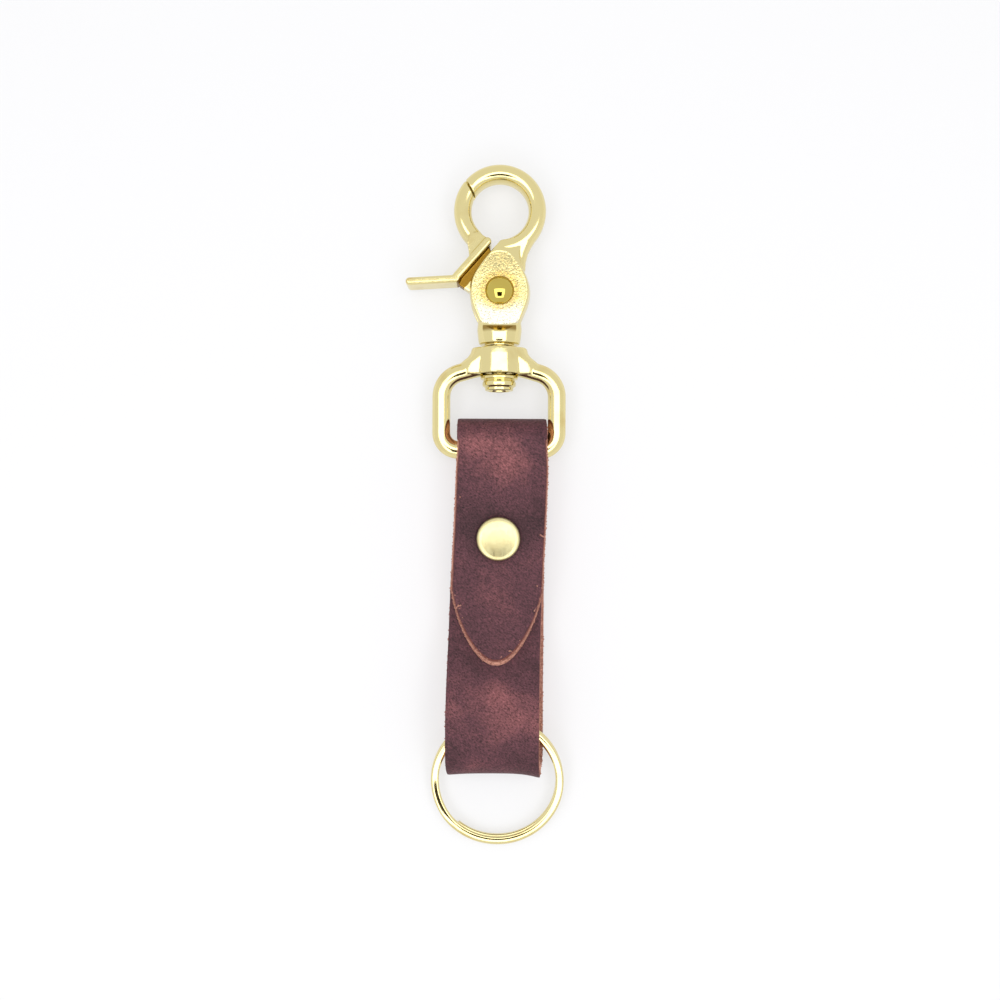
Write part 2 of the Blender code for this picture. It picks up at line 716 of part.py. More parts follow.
def make_spring(parent):
    """A coil of wire round the pivot, in the recess behind the tang."""
    steps = int(SPRING_TURNS * 16)
    up = Vector((0, 0, 1))
    low = -SLOT / 2 + 0.5 * CLEAR + SPRING_WIRE / 2
    rings = []
    for i in range(steps + 1):
        turn = 2 * math.pi * SPRING_TURNS * i / steps
        out = Vector((math.cos(turn), math.sin(turn), 0))
        centre = out * SPRING_RADIUS + up * (low + SPRING_PITCH * turn / (2 * math.pi))
        rings.append(wire_ring(centre, out, up, SPRING_WIRE / 2, 6))
    piece(swept(rings), "gate_spring", parent, "spring_steel")


# Split key ring, drawn about the line that it swings on


def ring_height(turn):
    """Height of the wire's middle after a share of turns: the lower coil, the jog, then the upper coil."""
    pitch = RING_COIL + RING_COIL_GAP
    return pitch * (smooth_step((turn - 1 + RING_JOG) / (2 * RING_JOG)) - 0.5)


def ring_section(out, up):
    """The flat wire with rounded edges, as eight corners."""
    wide = RING_BAND / 2
    tall = RING_COIL / 2
    cut = 0.3 * RING_COIL
    corners = [(wide, tall - cut), (wide - cut, tall)]
    corners += [(-x, y) for x, y in reversed(corners)]
    corners += [(-x, -y) for x, y in corners]
    return [out * x + up * y for x, y in corners]


def make_key_ring(parent):
    start = RING_JOG + RING_END_GAP
    end = 2 - start
    steps = int((end - start) * RING_SIDES)
    up = Vector((0, 0, 1))
    rings = []
    for i in range(steps + 1):
        turn = start + (end - start) * i / steps
        angle = math.radians(RING_JOG_ANGLE) + 2 * math.pi * turn
        out = Vector((math.cos(angle), math.sin(angle), 0))
        centre = out * RING_RADIUS + up * ring_height(turn)
        centre.y -= RING_AXIS_TO_CENTRE
        rings.append([centre + corner for corner in ring_section(out, up)])
    ring = piece(swept(rings), "key_ring", parent, "polished_brass")
    ring.rotation_euler.x = RING_TILT


def main():
    clear_scene()
    bar = Vector((BAR_X, BAR_Y, BAR_Z))
    strap_place = axis_empty("strap_place", Vector((BAR_X, BAR_Y, 0)))
    bar_axis = axis_empty("bar_axis", bar)
    pivot_axis = axis_empty("pivot_axis", bar + Vector((0, PIVOT_Y, 0)))
    ring_axis = axis_empty("ring_axis", Vector((BAR_X, BAR_Y + RING_AXIS_Y, RING_AXIS_Z)))
    make_strap(strap_place)
    make_rivet(strap_place)
    make_eye(bar_axis)
    make_pin(bar_axis)
    make_washer(bar_axis)
    make_hook_body(pivot_axis)
    make_pivot_rivet(pivot_axis)
    make_gate(pivot_axis)
    make_spring(pivot_axis)
    make_key_ring(ring_axis)


main()
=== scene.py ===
"""Leather loop key fob: a folded, riveted strap with a scissor swivel snap and a split key ring.

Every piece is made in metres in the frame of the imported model, which gives the places that they are built on:
+Y points to the hook, +Z up, and the fob lies on its back on the plane z = 0.
"""

import json
import math

import bmesh
import bpy
import numpy as np
from bpy.props import FloatProperty, FloatVectorProperty, PointerProperty
from mathutils import Matrix, Vector


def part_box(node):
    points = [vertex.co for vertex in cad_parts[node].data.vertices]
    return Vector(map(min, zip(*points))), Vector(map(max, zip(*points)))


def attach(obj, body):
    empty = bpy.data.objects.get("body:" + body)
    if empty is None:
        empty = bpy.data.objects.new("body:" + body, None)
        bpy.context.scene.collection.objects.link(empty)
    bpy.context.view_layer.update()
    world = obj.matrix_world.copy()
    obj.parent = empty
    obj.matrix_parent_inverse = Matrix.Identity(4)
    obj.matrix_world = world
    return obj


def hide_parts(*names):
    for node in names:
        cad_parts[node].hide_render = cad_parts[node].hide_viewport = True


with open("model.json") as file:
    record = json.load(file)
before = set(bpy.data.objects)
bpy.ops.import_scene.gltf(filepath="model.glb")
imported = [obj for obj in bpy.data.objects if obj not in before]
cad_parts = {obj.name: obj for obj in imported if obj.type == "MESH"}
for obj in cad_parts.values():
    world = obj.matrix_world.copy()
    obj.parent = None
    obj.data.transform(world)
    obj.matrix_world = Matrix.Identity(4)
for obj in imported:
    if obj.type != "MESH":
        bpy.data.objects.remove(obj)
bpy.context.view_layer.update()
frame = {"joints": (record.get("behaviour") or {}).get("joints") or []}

bl_info = {
    "name": "Leather Loop Key Fob",
    "version": (1, 0, 0),
    "blender": (4, 5, 0),
    "location": "View3D > Sidebar > Key Fob",
    "description": "Makes a riveted leather key fob with a swivel snap, a split ring and a pale table for it",
    "category": "Object",
}

MM = 0.001

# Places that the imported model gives
JOINTS = {joint["name"]: Vector(joint["pos_m"]) for joint in frame["joints"]}
BAR = JOINTS["eye_swing"]
PIVOT = JOINTS["gate_open"]
RING_AXIS = JOINTS["ring_swing"]
CAP_LOW, CAP_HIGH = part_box("rivet_cap")
POST_LOW, POST_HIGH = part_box("rivet_post")


def linear(colour):
    """An sRGB colour written in hex, as the linear values that a shader works in."""
    parts = [int(colour[i : i + 2], 16) / 255 for i in (1, 3, 5)]
    return [p / 12.92 if p <= 0.04045 else ((p + 0.055) / 1.055) ** 2.4 for p in parts]


def length(name, description, millimetres):
    """A length setting, given in millimetres and kept in metres."""
    return FloatProperty(
        name=name, description=description, default=millimetres * MM, min=0.0, precision=5, unit="LENGTH"
    )


def colour(name, description, value):
    """A colour setting, given in sRGB hex."""
    return FloatVectorProperty(
        name=name, description=description, default=linear(value), min=0.0, max=1.0, size=3, subtype="COLOR"
    )


# Settings


class StrapSettings(bpy.types.PropertyGroup):
    """Sizes and colours of the folded leather strap."""

    width: length("Width", "Width of the strap", 19.3)
    thickness: length("Leather", "Thickness of the leather", 2.7)
    flap_point: length("Flap point", "Length over which the flap narrows to its tip", 15.0)
    skive: length("Skived side", "How far the flap's cut sides slope outwards to the flesh side", 0.55)
    tip_skive: length("Skived tip", "How far the cut slopes outwards at the tip of the flap", 0.78)
    under_skive: length(
        "Skived layers", "How far the right cut side of the other layers slopes outwards", 0.2
    )
    top_slip: length("Top slip", "How far the strap has slipped to the right at the bar", 0.75)
    lean: length("Lean", "How far the front of the ring loop has slipped to the left", 1.0)
    flare: length("Flare", "How far the loop's right corner is pulled down", 1.2)
    grain_size: length("Grain", "Size of a pebble of the leather's grain", 0.34)
    fibre_length: length("Fibre length", "Length of a loose fibre on the cut edges", 0.62)
    fibre_width: length("Fibre width", "Thickness of a loose fibre", 0.08)
    fibres: FloatProperty(
        name="Fibres", description="Loose fibres per square millimetre of frayed edge", default=18.0, min=0.0
    )
    dye: colour("Dye", "Middle tone of the dyed grain side", "#4C2A31")
    # The worn and dark dyes also carry the strap's painted light and painted shade, beside its uneven dye
    dye_red: colour("Worn dye and painted light", "Redder tone where the dye has rubbed thin", "#7F4B4C")
    dye_dark: colour("Dark dye", "Tone where the wax has drawn the dye together", "#33191F")
    raw: colour("Raw leather", "Undyed fibres of the cut edges and the flesh side", "#D39A86")
    raw_dark: colour("Stained edge", "Cut edge where the dye has run in from the grain side", "#6A3228")


class BrassSettings(bpy.types.PropertyGroup):
    """Colours of the metals."""

    cast: colour("Cast brass", "Polished cast brass of the snap", "#E5D79C")
    deep: colour(
        "Tarnished brass", "Brass in the hollows, where the polishing wheel does not reach", "#C49E48"
    )
    # Painted highlight: this paler, whiter brass is painted at the foot of the field for the lamp's light that
    # it reflects
    pale: colour(
        "Painted highlight brass", "Paler brass at the foot of the sand-cast field, where a thumb rubs it", "#F4EED8"
    )
    cap: colour("Antique brass", "Satin plating of the rivet caps", "#DED4A1")
    ring: colour("Ring brass", "Plating of the split ring", "#E6D8A0")
    dome: colour("Dome brass", "Turned brass of the pivot's heads", "#CAB75D")
    # Painted shade: this dark brown is painted on the slope above the barrel for its dark reflection, and on
    # the gate's plate beside its ridge for the shade in the slot
    shaded: colour("Shaded brass", "Unpolished brass in the slot of the snap", "#8C6A24")
    steel: colour("Spring steel", "Drawn wire of the gate's spring", "#A9A9A6")
    ripple: length("Ripple", "Distance between the soft waves that hand polishing leaves", 1.8)
    grit: length("Grit", "Size of a grain of the sand-cast field", 0.36)


class RivetSettings(bpy.types.PropertyGroup):
    """Sizes of the double-cap rivet."""

    shoulder: length("Shoulder", "Width of the rounded shoulder of a cap", 0.85)
    rim: length("Rim", "Height of a cap's straight rim", 0.3)


class EyeSettings(bpy.types.PropertyGroup):
    """Sizes of the swivel eye, its pin and its washer."""

    inner_width: length("Inner width", "Width of the window that the strap passes through", 20.5)
    wire: length("Wire", "Thickness of the frame's round bar", 3.8)
    inner_height: length("Inner height", "Height of the window", 14.0)
    hub_height: length("Hub height", "Height of the hub above the window", 5.5)
    pin_head: length("Pin head", "Radius of the pin's head inside the frame", 3.95)
    washer: length("Washer", "Radius of the washer above the hub", 3.15)


class SnapSettings(bpy.types.PropertyGroup):
    """Sizes of the scissor snap, measured from the gate's pivot."""

    hook_wire: length("Hook wire", "Thickness of the hook's round bar", 3.7)
    hook_radius: length("Hook radius", "Radius of the hook's middle line", 7.85)
    hook_rise: length("Hook rise", "Height of the hook's centre above the pivot", 17.2)
    cheek_width: length("Cheek width", "Greatest width of the two cheeks", 13.2)
    cheek_depth: length("Cheek depth", "Distance from the front cheek's face to the back cheek's face", 6.7)
    slot: length("Slot", "Space between the cheeks", 3.4)
    field: length("Field", "Depth of the sand-cast field below its border", 0.22)
    barrel: length("Barrel", "Radius of the barrel that the pin is held in", 4.4)
    lever_reach: length("Lever reach", "Distance from the pivot to the thumb lever's tip", 19.6)
    dome: length("Dome", "Radius of the pivot rivet's domed heads", 3.0)
    dome_height: length("Dome height", "Height of the pivot rivet's domed heads", 1.25)
    spring_radius: length("Spring radius", "Radius of the gate's spring", 2.35)
    spring_wire: length("Spring wire", "Thickness of the spring's wire", 0.4)
    spring_turns: FloatProperty(name="Spring turns", description="Turns of the spring", default=1.75, min=0.5)


class RingSettings(bpy.types.PropertyGroup):
    """Sizes of the split key ring."""

    radius: length("Radius", "Radius of the ring's middle line", 13.25)
    band: length("Band", "Width of the flattened wire", 1.7)
    coil: length("Coil", "Height of one coil", 1.05)
    gap: length("Gap", "Space between the two coils", 0.08)
    axis_to_centre: length(
        "Axis to centre", "Distance from the line that the ring swings about to its centre", 11.0347
    )
    tilt: FloatProperty(
        name="Tilt",
        description="Slope of the ring from the strap to the table",
        default=0.15177,
        subtype="ANGLE",
    )


class StageSettings(bpy.types.PropertyGroup):
    """Camera, table and light tent."""

    camera_height: length("Camera height", "Height of the camera above the table", 209.0)
    lens: FloatProperty(
        name="Lens", description="Focal length on a 36 mm wide sensor, in mm", default=34.9, min=10.0
    )
    roll: FloatProperty(
        name="Roll",
        description="How far the camera is turned about its line of sight",
        default=0.0052,
        subtype="ANGLE",
    )
    lamp_height: length("Lamp height", "Height of the lamp panel above the table", 300.0)
    lamp_back: length("Lamp offset", "How far the lamp panel hangs towards the key ring", 122.0)
    lamp_outer: length("Lamp size", "Half width of the square lamp panel", 215.0)
    lamp_inner: length("Opening", "Half width of the opening in the lamp panel", 95.0)
    lamp_radiance: FloatProperty(name="Lamp", description="Radiance of the lamp panel", default=2.0, min=0.0)
    tent: FloatProperty(name="Tent", description="Brightness of the tent's walls", default=0.93, min=0.0)
    table: colour("Table", "Frosted white sheet that the fob lies on", "#9C9C9E")
    glow: FloatProperty(
        name="Glow", description="Light that the sheet lets through from below", default=0.54, min=0.0
    )


class KeyFobSettings(bpy.types.PropertyGroup):
    """All the settings of the key fob."""

    strap: PointerProperty(type=StrapSettings)
    brass: PointerProperty(type=BrassSettings)
    rivet: PointerProperty(type=RivetSettings)
    eye: PointerProperty(type=EyeSettings)
    snap: PointerProperty(type=SnapSettings)
    ring: PointerProperty(type=RingSettings)
    stage: PointerProperty(type=StageSettings)


# Node trees


def add_node(tree, kind, settings=None, inputs=None):
    """Adds a node. Inputs go by name or number, and each is a value or a socket that is linked to it."""
    node = tree.nodes.new(kind)
    for name, value in (settings or {}).items():
        setattr(node, name, value)
    for key, value in (inputs or {}).items():
        if isinstance(value, bpy.types.NodeSocket):
            tree.links.new(value, node.inputs[key])
        else:
            node.inputs[key].default_value = value
    return node


def new_material(name, base, metallic, roughness):
    """A material whose shader has these constant values, and its tree and shader."""
    made = bpy.data.materials.new(name)
    made.use_nodes = True
    shader = made.node_tree.nodes["Principled BSDF"]
    shader.inputs["Base Color"].default_value = (*base, 1.0)
    shader.inputs["Metallic"].default_value = metallic
    shader.inputs["Roughness"].default_value = roughness
    return made, made.node_tree, shader


def rgba(value):
    """The same colour with full alpha."""
    return (*value, 1.0)


# Materials


def polished_brass(name, base, deep, ripple, roughness=0.11):
    """Cast brass, buffed by hand: a soft wavy mirror with fine hairlines and duller gold in the hollows."""
    made, tree, shader = new_material(name, base, 1.0, roughness)
    place = add_node(tree, "ShaderNodeTexCoord").outputs["Object"]
    waves = add_node(
        tree,
        "ShaderNodeTexNoise",
        None,
        {"Vector": place, "Scale": 1 / ripple, "Detail": 1.0, "Roughness": 0.4},
    )
    # Pits and hairlines of 0.12 mm, a little coarser than real ones so that they show
    pits = add_node(
        tree,
        "ShaderNodeTexNoise",
        None,
        {"Vector": place, "Scale": 1 / (0.12 * MM), "Detail": 3.0, "Roughness": 0.6},
    )
    tone = add_node(
        tree,
        "ShaderNodeTexNoise",
        None,
        {"Vector": place, "Scale": 1 / (5.0 * MM), "Detail": 2.0, "Roughness": 0.55},
    )
    dull = add_node(
        tree,
        "ShaderNodeMapRange",
        {"interpolation_type": "SMOOTHSTEP"},
        {"Value": tone.outputs["Fac"], "From Min": 0.5, "From Max": 0.78, "To Min": 0.0, "To Max": 0.35},
    )
    mixed = add_node(
        tree,
        "ShaderNodeMix",
        {"data_type": "RGBA"},
        {0: dull.outputs["Result"], 6: rgba(base), 7: rgba(deep)},
    )
    polish = add_node(
        tree,
        "ShaderNodeMapRange",
        None,
        {
            "Value": pits.outputs["Fac"],
            "From Min": 0.3,
            "From Max": 0.8,
            "To Min": roughness * 0.75,
            "To Max": roughness * 1.6,
        },
    )
    soft = add_node(
        tree,
        "ShaderNodeBump",
        None,
        {"Strength": 0.35, "Distance": 0.04 * MM, "Height": waves.outputs["Fac"]},
    )
    fine = add_node(
        tree,
        "ShaderNodeBump",
        None,
        {
            "Strength": 0.12,
            "Distance": 0.01 * MM,
            "Height": pits.outputs["Fac"],
            "Normal": soft.outputs["Normal"],
        },
    )
    tree.links.new(mixed.outputs[2], shader.inputs["Base Color"])
    tree.links.new(polish.outputs["Result"], shader.inputs["Roughness"])
    tree.links.new(fine.outputs["Normal"], shader.inputs["Normal"])
    return made


def sand_cast_brass(name, brass):
    """The cheeks: a buffed border round a field that glitters with the fine grit of the sand mould."""
    made, tree, shader = new_material(name, brass.cast, 1.0, 0.12)
    place = add_node(tree, "ShaderNodeTexCoord").outputs["Object"]
    sand = add_node(tree, "ShaderNodeAttribute", {"attribute_name": "sand"}).outputs["Fac"]
    halo = add_node(tree, "ShaderNodeAttribute", {"attribute_name": "halo"}).outputs["Fac"]
    waves = add_node(
        tree,
        "ShaderNodeTexNoise",
        None,
        {"Vector": place, "Scale": 1 / brass.ripple, "Detail": 1.0, "Roughness": 0.4},
    )
    grit = add_node(
        tree,
        "ShaderNodeTexVoronoi",
        {"feature": "SMOOTH_F1"},
        {"Vector": place, "Scale": 1 / brass.grit, "Smoothness": 0.6},
    )
    speck = add_node(
        tree,
        "ShaderNodeTexNoise",
        None,
        {"Vector": place, "Scale": 1 / brass.grit, "Detail": 3.0, "Roughness": 0.7},
    )
    stain = add_node(
        tree,
        "ShaderNodeMapRange",
        None,
        {"Value": speck.outputs["Fac"], "From Min": 0.45, "From Max": 0.66, "To Min": 0.0, "To Max": 0.5},
    )
    stained = add_node(
        tree, "ShaderNodeMath", {"operation": "MULTIPLY"}, {0: stain.outputs["Result"], 1: sand}
    )
    near_rivet = add_node(
        tree,
        "ShaderNodeMath",
        {"operation": "MULTIPLY_ADD", "use_clamp": True},
        {0: halo, 1: 0.42, 2: stained.outputs[0]},
    )
    # Painted highlight: the field is mixed towards the pale colour near its foot
    painted_light_and_wear = add_node(tree, "ShaderNodeAttribute", {"attribute_name": "painted_light_and_wear"}).outputs["Fac"]
    paler = add_node(
        tree, "ShaderNodeMix", {"data_type": "RGBA"}, {0: painted_light_and_wear, 6: rgba(brass.cast), 7: rgba(brass.pale)}
    )
    mixed = add_node(
        tree,
        "ShaderNodeMix",
        {"data_type": "RGBA"},
        {0: near_rivet.outputs[0], 6: paler.outputs[2], 7: rgba(brass.deep)},
    )
    glint = add_node(
        tree,
        "ShaderNodeMapRange",
        None,
        {"Value": speck.outputs["Fac"], "From Min": 0.35, "From Max": 0.65, "To Min": 0.55, "To Max": 1.6},
    )
    glitter = add_node(
        tree, "ShaderNodeMix", {"data_type": "FLOAT"}, {0: sand, 2: 1.0, 3: glint.outputs["Result"]}
    )
    speckled = add_node(
        tree,
        "ShaderNodeMix",
        {"data_type": "RGBA", "blend_type": "MULTIPLY"},
        {0: 1.0, 6: mixed.outputs[2], 7: glitter.outputs[0]},
    )
    # Painted dark reflection: where the 'shade' mark is set, on the slope above the barrel, the colour is mixed
    # towards the shaded brown
    shade = add_node(tree, "ShaderNodeAttribute", {"attribute_name": "shade"}).outputs["Fac"]
    shaded = add_node(
        tree,
        "ShaderNodeMix",
        {"data_type": "RGBA"},
        {0: shade, 6: speckled.outputs[2], 7: rgba(brass.shaded)},
    )
    rough = add_node(
        tree,
        "ShaderNodeMapRange",
        None,
        {"Value": sand, "From Min": 0.0, "From Max": 1.0, "To Min": 0.12, "To Max": 0.24},
    )
    soft = add_node(
        tree,
        "ShaderNodeBump",
        None,
        {"Strength": 0.35, "Distance": 0.04 * MM, "Height": waves.outputs["Fac"]},
    )
    grains = add_node(
        tree,
        "ShaderNodeMath",
        {"operation": "MULTIPLY_ADD"},
        {0: speck.outputs["Fac"], 1: 0.8, 2: grit.outputs["Distance"]},
    )
    grain_height = add_node(
        tree, "ShaderNodeMath", {"operation": "MULTIPLY"}, {0: grains.outputs[0], 1: sand}
    )
    rough_field = add_node(
        tree,
        "ShaderNodeBump",
        None,
        {
            "Strength": 1.0,
            "Distance": 0.11 * MM,
            "Height": grain_height.outputs[0],
            "Normal": soft.outputs["Normal"],
        },
    )
    tree.links.new(shaded.outputs[2], shader.inputs["Base Color"])
    tree.links.new(rough.outputs["Result"], shader.inputs["Roughness"])
    tree.links.new(rough_field.outputs["Normal"], shader.inputs["Normal"])
    return made


def satin_plating(name, base, deep):
    """Pressed steel under antique brass plate, brushed along the fob: a soft sheen drawn across the lines."""
    made, tree, shader = new_material(name, base, 1.0, 0.34)
    place = add_node(tree, "ShaderNodeTexCoord").outputs["Object"]
    # Brush lines 0.15 mm apart and some 4 mm long
    lines = add_node(
        tree,
        "ShaderNodeMapping",
        None,
        {"Vector": place, "Scale": (1 / (0.15 * MM), 1 / (4 * MM), 1 / (0.6 * MM))},
    )
    brushed = add_node(
        tree, "ShaderNodeTexNoise", None, {"Vector": lines.outputs["Vector"], "Scale": 1.0, "Detail": 3.0}
    )
    patch = add_node(
        tree, "ShaderNodeTexNoise", None, {"Vector": place, "Scale": 1 / (3.0 * MM), "Detail": 2.0}
    )
    shade = add_node(
        tree,
        "ShaderNodeMapRange",
        None,
        {"Value": patch.outputs["Fac"], "From Min": 0.45, "From Max": 0.8, "To Min": 0.0, "To Max": 0.3},
    )
    mixed = add_node(
        tree,
        "ShaderNodeMix",
        {"data_type": "RGBA"},
        {0: shade.outputs["Result"], 6: rgba(base), 7: rgba(deep)},
    )
    rough = add_node(
        tree,
        "ShaderNodeMapRange",
        None,
        {"Value": brushed.outputs["Fac"], "From Min": 0.3, "From Max": 0.7, "To Min": 0.27, "To Max": 0.42},
    )
    bump = add_node(
        tree,
        "ShaderNodeBump",
        None,
        {"Strength": 0.25, "Distance": 0.015 * MM, "Height": brushed.outputs["Fac"]},
    )
    tree.links.new(mixed.outputs[2], shader.inputs["Base Color"])
    tree.links.new(rough.outputs["Result"], shader.inputs["Roughness"])
    tree.links.new(bump.outputs["Normal"], shader.inputs["Normal"])
    return made


def drawn_steel(name, base):
    """Drawn spring steel: grey wire with faint lines along it from the die."""
    made, tree, shader = new_material(name, base, 1.0, 0.28)
    place = add_node(tree, "ShaderNodeTexCoord").outputs["Object"]
    die = add_node(
        tree, "ShaderNodeTexNoise", None, {"Vector": place, "Scale": 1 / (0.1 * MM), "Detail": 2.0}
    )
    rough = add_node(
        tree, "ShaderNodeMapRange", None, {"Value": die.outputs["Fac"], "To Min": 0.2, "To Max": 0.4}
    )
    bump = add_node(
        tree, "ShaderNodeBump", None, {"Strength": 0.2, "Distance": 0.01 * MM, "Height": die.outputs["Fac"]}
    )
    tree.links.new(rough.outputs["Result"], shader.inputs["Roughness"])
    tree.links.new(bump.outputs["Normal"], shader.inputs["Normal"])
    return made


def waxed_leather(name, strap):
    """Dyed, waxed cowhide: matt and dark, with a slanting pebble grain, rubbed redder by handling in places;
    its tone marks also carry painted light and shade.
    """
    made, tree, shader = new_material(name, strap.dye, 0.0, 0.6)
    shader.inputs["Specular IOR Level"].default_value = 0.3
    place = add_node(tree, "ShaderNodeTexCoord").outputs["Object"]
    tone = add_node(tree, "ShaderNodeAttribute", {"attribute_name": "tone"}).outputs["Fac"]
    turned = add_node(
        tree,
        "ShaderNodeMapping",
        {"vector_type": "TEXTURE"},
        {"Vector": place, "Rotation": (0.0, 0.0, math.radians(-38)), "Scale": (1.8, 1.0, 1.0)},
    ).outputs["Vector"]
    pebbles = add_node(
        tree,
        "ShaderNodeTexVoronoi",
        {"feature": "SMOOTH_F1"},
        {"Vector": turned, "Scale": 1.4 / strap.grain_size, "Smoothness": 0.7, "Randomness": 1.0},
    ).outputs["Distance"]
    grain = add_node(
        tree,
        "ShaderNodeTexNoise",
        None,
        {
            "Vector": turned,
            "Scale": 1.3 / strap.grain_size,
            "Detail": 5.0,
            "Roughness": 0.62,
            "Distortion": 0.4,
        },
    ).outputs["Fac"]
    patches = add_node(
        tree,
        "ShaderNodeTexNoise",
        None,
        {"Vector": place, "Scale": 1 / (8.0 * MM), "Detail": 4.0, "Roughness": 0.6},
    ).outputs["Fac"]
    # Painted light and shade: the strap's tone marks push this mix towards the red and the dark dye, along with
    # the random patches
    wear_and_painted_light = add_node(
        tree, "ShaderNodeMath", {"operation": "MULTIPLY_ADD"}, {0: patches, 1: 1.3, 2: tone}
    ).outputs[0]
    thin = add_node(
        tree,
        "ShaderNodeMapRange",
        {"interpolation_type": "SMOOTHSTEP"},
        {"Value": wear_and_painted_light, "From Min": 0.62, "From Max": 1.25, "To Min": 0.0, "To Max": 0.75},
    ).outputs["Result"]
    drawn = add_node(
        tree,
        "ShaderNodeMapRange",
        {"interpolation_type": "SMOOTHSTEP"},
        {"Value": wear_and_painted_light, "From Min": 0.2, "From Max": 0.66, "To Min": 0.8, "To Max": 0.0},
    ).outputs["Result"]
    dark = add_node(
        tree, "ShaderNodeMix", {"data_type": "RGBA"}, {0: drawn, 6: rgba(strap.dye), 7: rgba(strap.dye_dark)}
    ).outputs[2]
    painted_light_and_wear = add_node(
        tree, "ShaderNodeMix", {"data_type": "RGBA"}, {0: thin, 6: dark, 7: rgba(strap.dye_red)}
    ).outputs[2]
    contrast = add_node(
        tree,
        "ShaderNodeMapRange",
        None,
        {"Value": grain, "From Min": 0.32, "From Max": 0.68, "To Min": 0.25, "To Max": 1.95},
    ).outputs["Result"]
    shaded = add_node(
        tree, "ShaderNodeMix", {"data_type": "RGBA", "blend_type": "MULTIPLY"}, {0: 1.0, 6: painted_light_and_wear, 7: contrast}
    ).outputs[2]
    rough = add_node(
        tree,
        "ShaderNodeMapRange",
        None,
        {"Value": grain, "From Min": 0.3, "From Max": 0.7, "To Min": 0.68, "To Max": 0.5},
    ).outputs["Result"]
    creases = add_node(
        tree, "ShaderNodeMath", {"operation": "MULTIPLY_ADD"}, {0: pebbles, 1: -0.9, 2: grain}
    ).outputs[0]
    bump = add_node(
        tree, "ShaderNodeBump", None, {"Strength": 0.7, "Distance": 0.09 * MM, "Height": creases}
    )
    tree.links.new(shaded, shader.inputs["Base Color"])
    tree.links.new(rough, shader.inputs["Roughness"])
    tree.links.new(bump.outputs["Normal"], shader.inputs["Normal"])
    return made


def cut_leather(name, strap):
    """The knife-cut edge: pale fibres in layers along the strap, stained by the dye at the grain side."""
    made, tree, shader = new_material(name, strap.raw, 0.0, 0.9)
    lengthwise = add_node(tree, "ShaderNodeUVMap", {"uv_map": "along_leather"}).outputs["UV"]
    depth = add_node(tree, "ShaderNodeAttribute", {"attribute_name": "edge_depth"}).outputs["Fac"]
    # Fibre layers 0.2 mm thick and some 1.2 mm long
    layers = add_node(
        tree,
        "ShaderNodeMapping",
        None,
        {"Vector": lengthwise, "Scale": (1 / (1.2 * MM), 1 / (0.2 * MM), 1.0)},
    ).outputs["Vector"]
    fibres = add_node(
        tree, "ShaderNodeTexNoise", None, {"Vector": layers, "Scale": 1.0, "Detail": 4.0, "Roughness": 0.65}
    ).outputs["Fac"]
    run_in = add_node(
        tree, "ShaderNodeMath", {"operation": "MULTIPLY_ADD"}, {0: fibres, 1: 0.5, 2: depth}
    ).outputs[0]
    stain = add_node(
        tree,
        "ShaderNodeMapRange",
        {"interpolation_type": "SMOOTHSTEP"},
        {"Value": run_in, "From Min": 0.45, "From Max": 0.85, "To Min": 0.95, "To Max": 0.0},
    ).outputs["Result"]
    mixed = add_node(
        tree, "ShaderNodeMix", {"data_type": "RGBA"}, {0: stain, 6: rgba(strap.raw), 7: rgba(strap.raw_dark)}
    ).outputs[2]
    contrast = add_node(
        tree,
        "ShaderNodeMapRange",
        None,
        {"Value": fibres, "From Min": 0.3, "From Max": 0.7, "To Min": 0.72, "To Max": 1.2},
    ).outputs["Result"]
    shaded = add_node(
        tree,
        "ShaderNodeMix",
        {"data_type": "RGBA", "blend_type": "MULTIPLY"},
        {0: 1.0, 6: mixed, 7: contrast},
    ).outputs[2]
    bump = add_node(
        tree, "ShaderNodeBump", None, {"Strength": 0.8, "Distance": 0.1 * MM, "Height": fibres}
    )
    tree.links.new(shaded, shader.inputs["Base Color"])
    tree.links.new(bump.outputs["Normal"], shader.inputs["Normal"])
    return made


def flesh_side(name, strap):
    """The back of the hide: a short brushed nap in the colour of raw leather, with reddish flecks of dye."""
    made, tree, shader = new_material(name, strap.raw, 0.0, 0.95)
    shader.inputs["Sheen Weight"].default_value = 0.25
    place = add_node(tree, "ShaderNodeTexCoord").outputs["Object"]
    nap = add_node(
        tree,
        "ShaderNodeTexNoise",
        None,
        {"Vector": place, "Scale": 1 / (0.35 * MM), "Detail": 5.0, "Roughness": 0.7},
    ).outputs["Fac"]
    flecks = add_node(
        tree,
        "ShaderNodeMapRange",
        {"interpolation_type": "SMOOTHSTEP"},
        {"Value": nap, "From Min": 0.45, "From Max": 0.62, "To Min": 0.65, "To Max": 0.0},
    ).outputs["Result"]
    mixed = add_node(
        tree, "ShaderNodeMix", {"data_type": "RGBA"}, {0: flecks, 6: rgba(strap.raw), 7: rgba(strap.raw_dark)}
    ).outputs[2]
    bump = add_node(
        tree, "ShaderNodeBump", None, {"Strength": 0.9, "Distance": 0.12 * MM, "Height": nap}
    )
    tree.links.new(mixed, shader.inputs["Base Color"])
    tree.links.new(bump.outputs["Normal"], shader.inputs["Normal"])
    return made


def loose_fibre(name, strap):
    """Single collagen fibres: pale, dry and slightly see-through."""
    made, tree, shader = new_material(name, strap.raw, 0.0, 0.8)
    place = add_node(tree, "ShaderNodeTexCoord").outputs["Object"]
    patch = add_node(
        tree,
        "ShaderNodeTexNoise",
        None,
        {"Vector": place, "Scale": 1 / (0.8 * MM)},
    ).outputs["Fac"]
    mixed = add_node(
        tree,
        "ShaderNodeMix",
        {"data_type": "RGBA"},
        {0: patch, 6: rgba(strap.raw), 7: rgba(strap.raw_dark)},
    ).outputs[2]
    tree.links.new(mixed, shader.inputs["Base Color"])
    return made


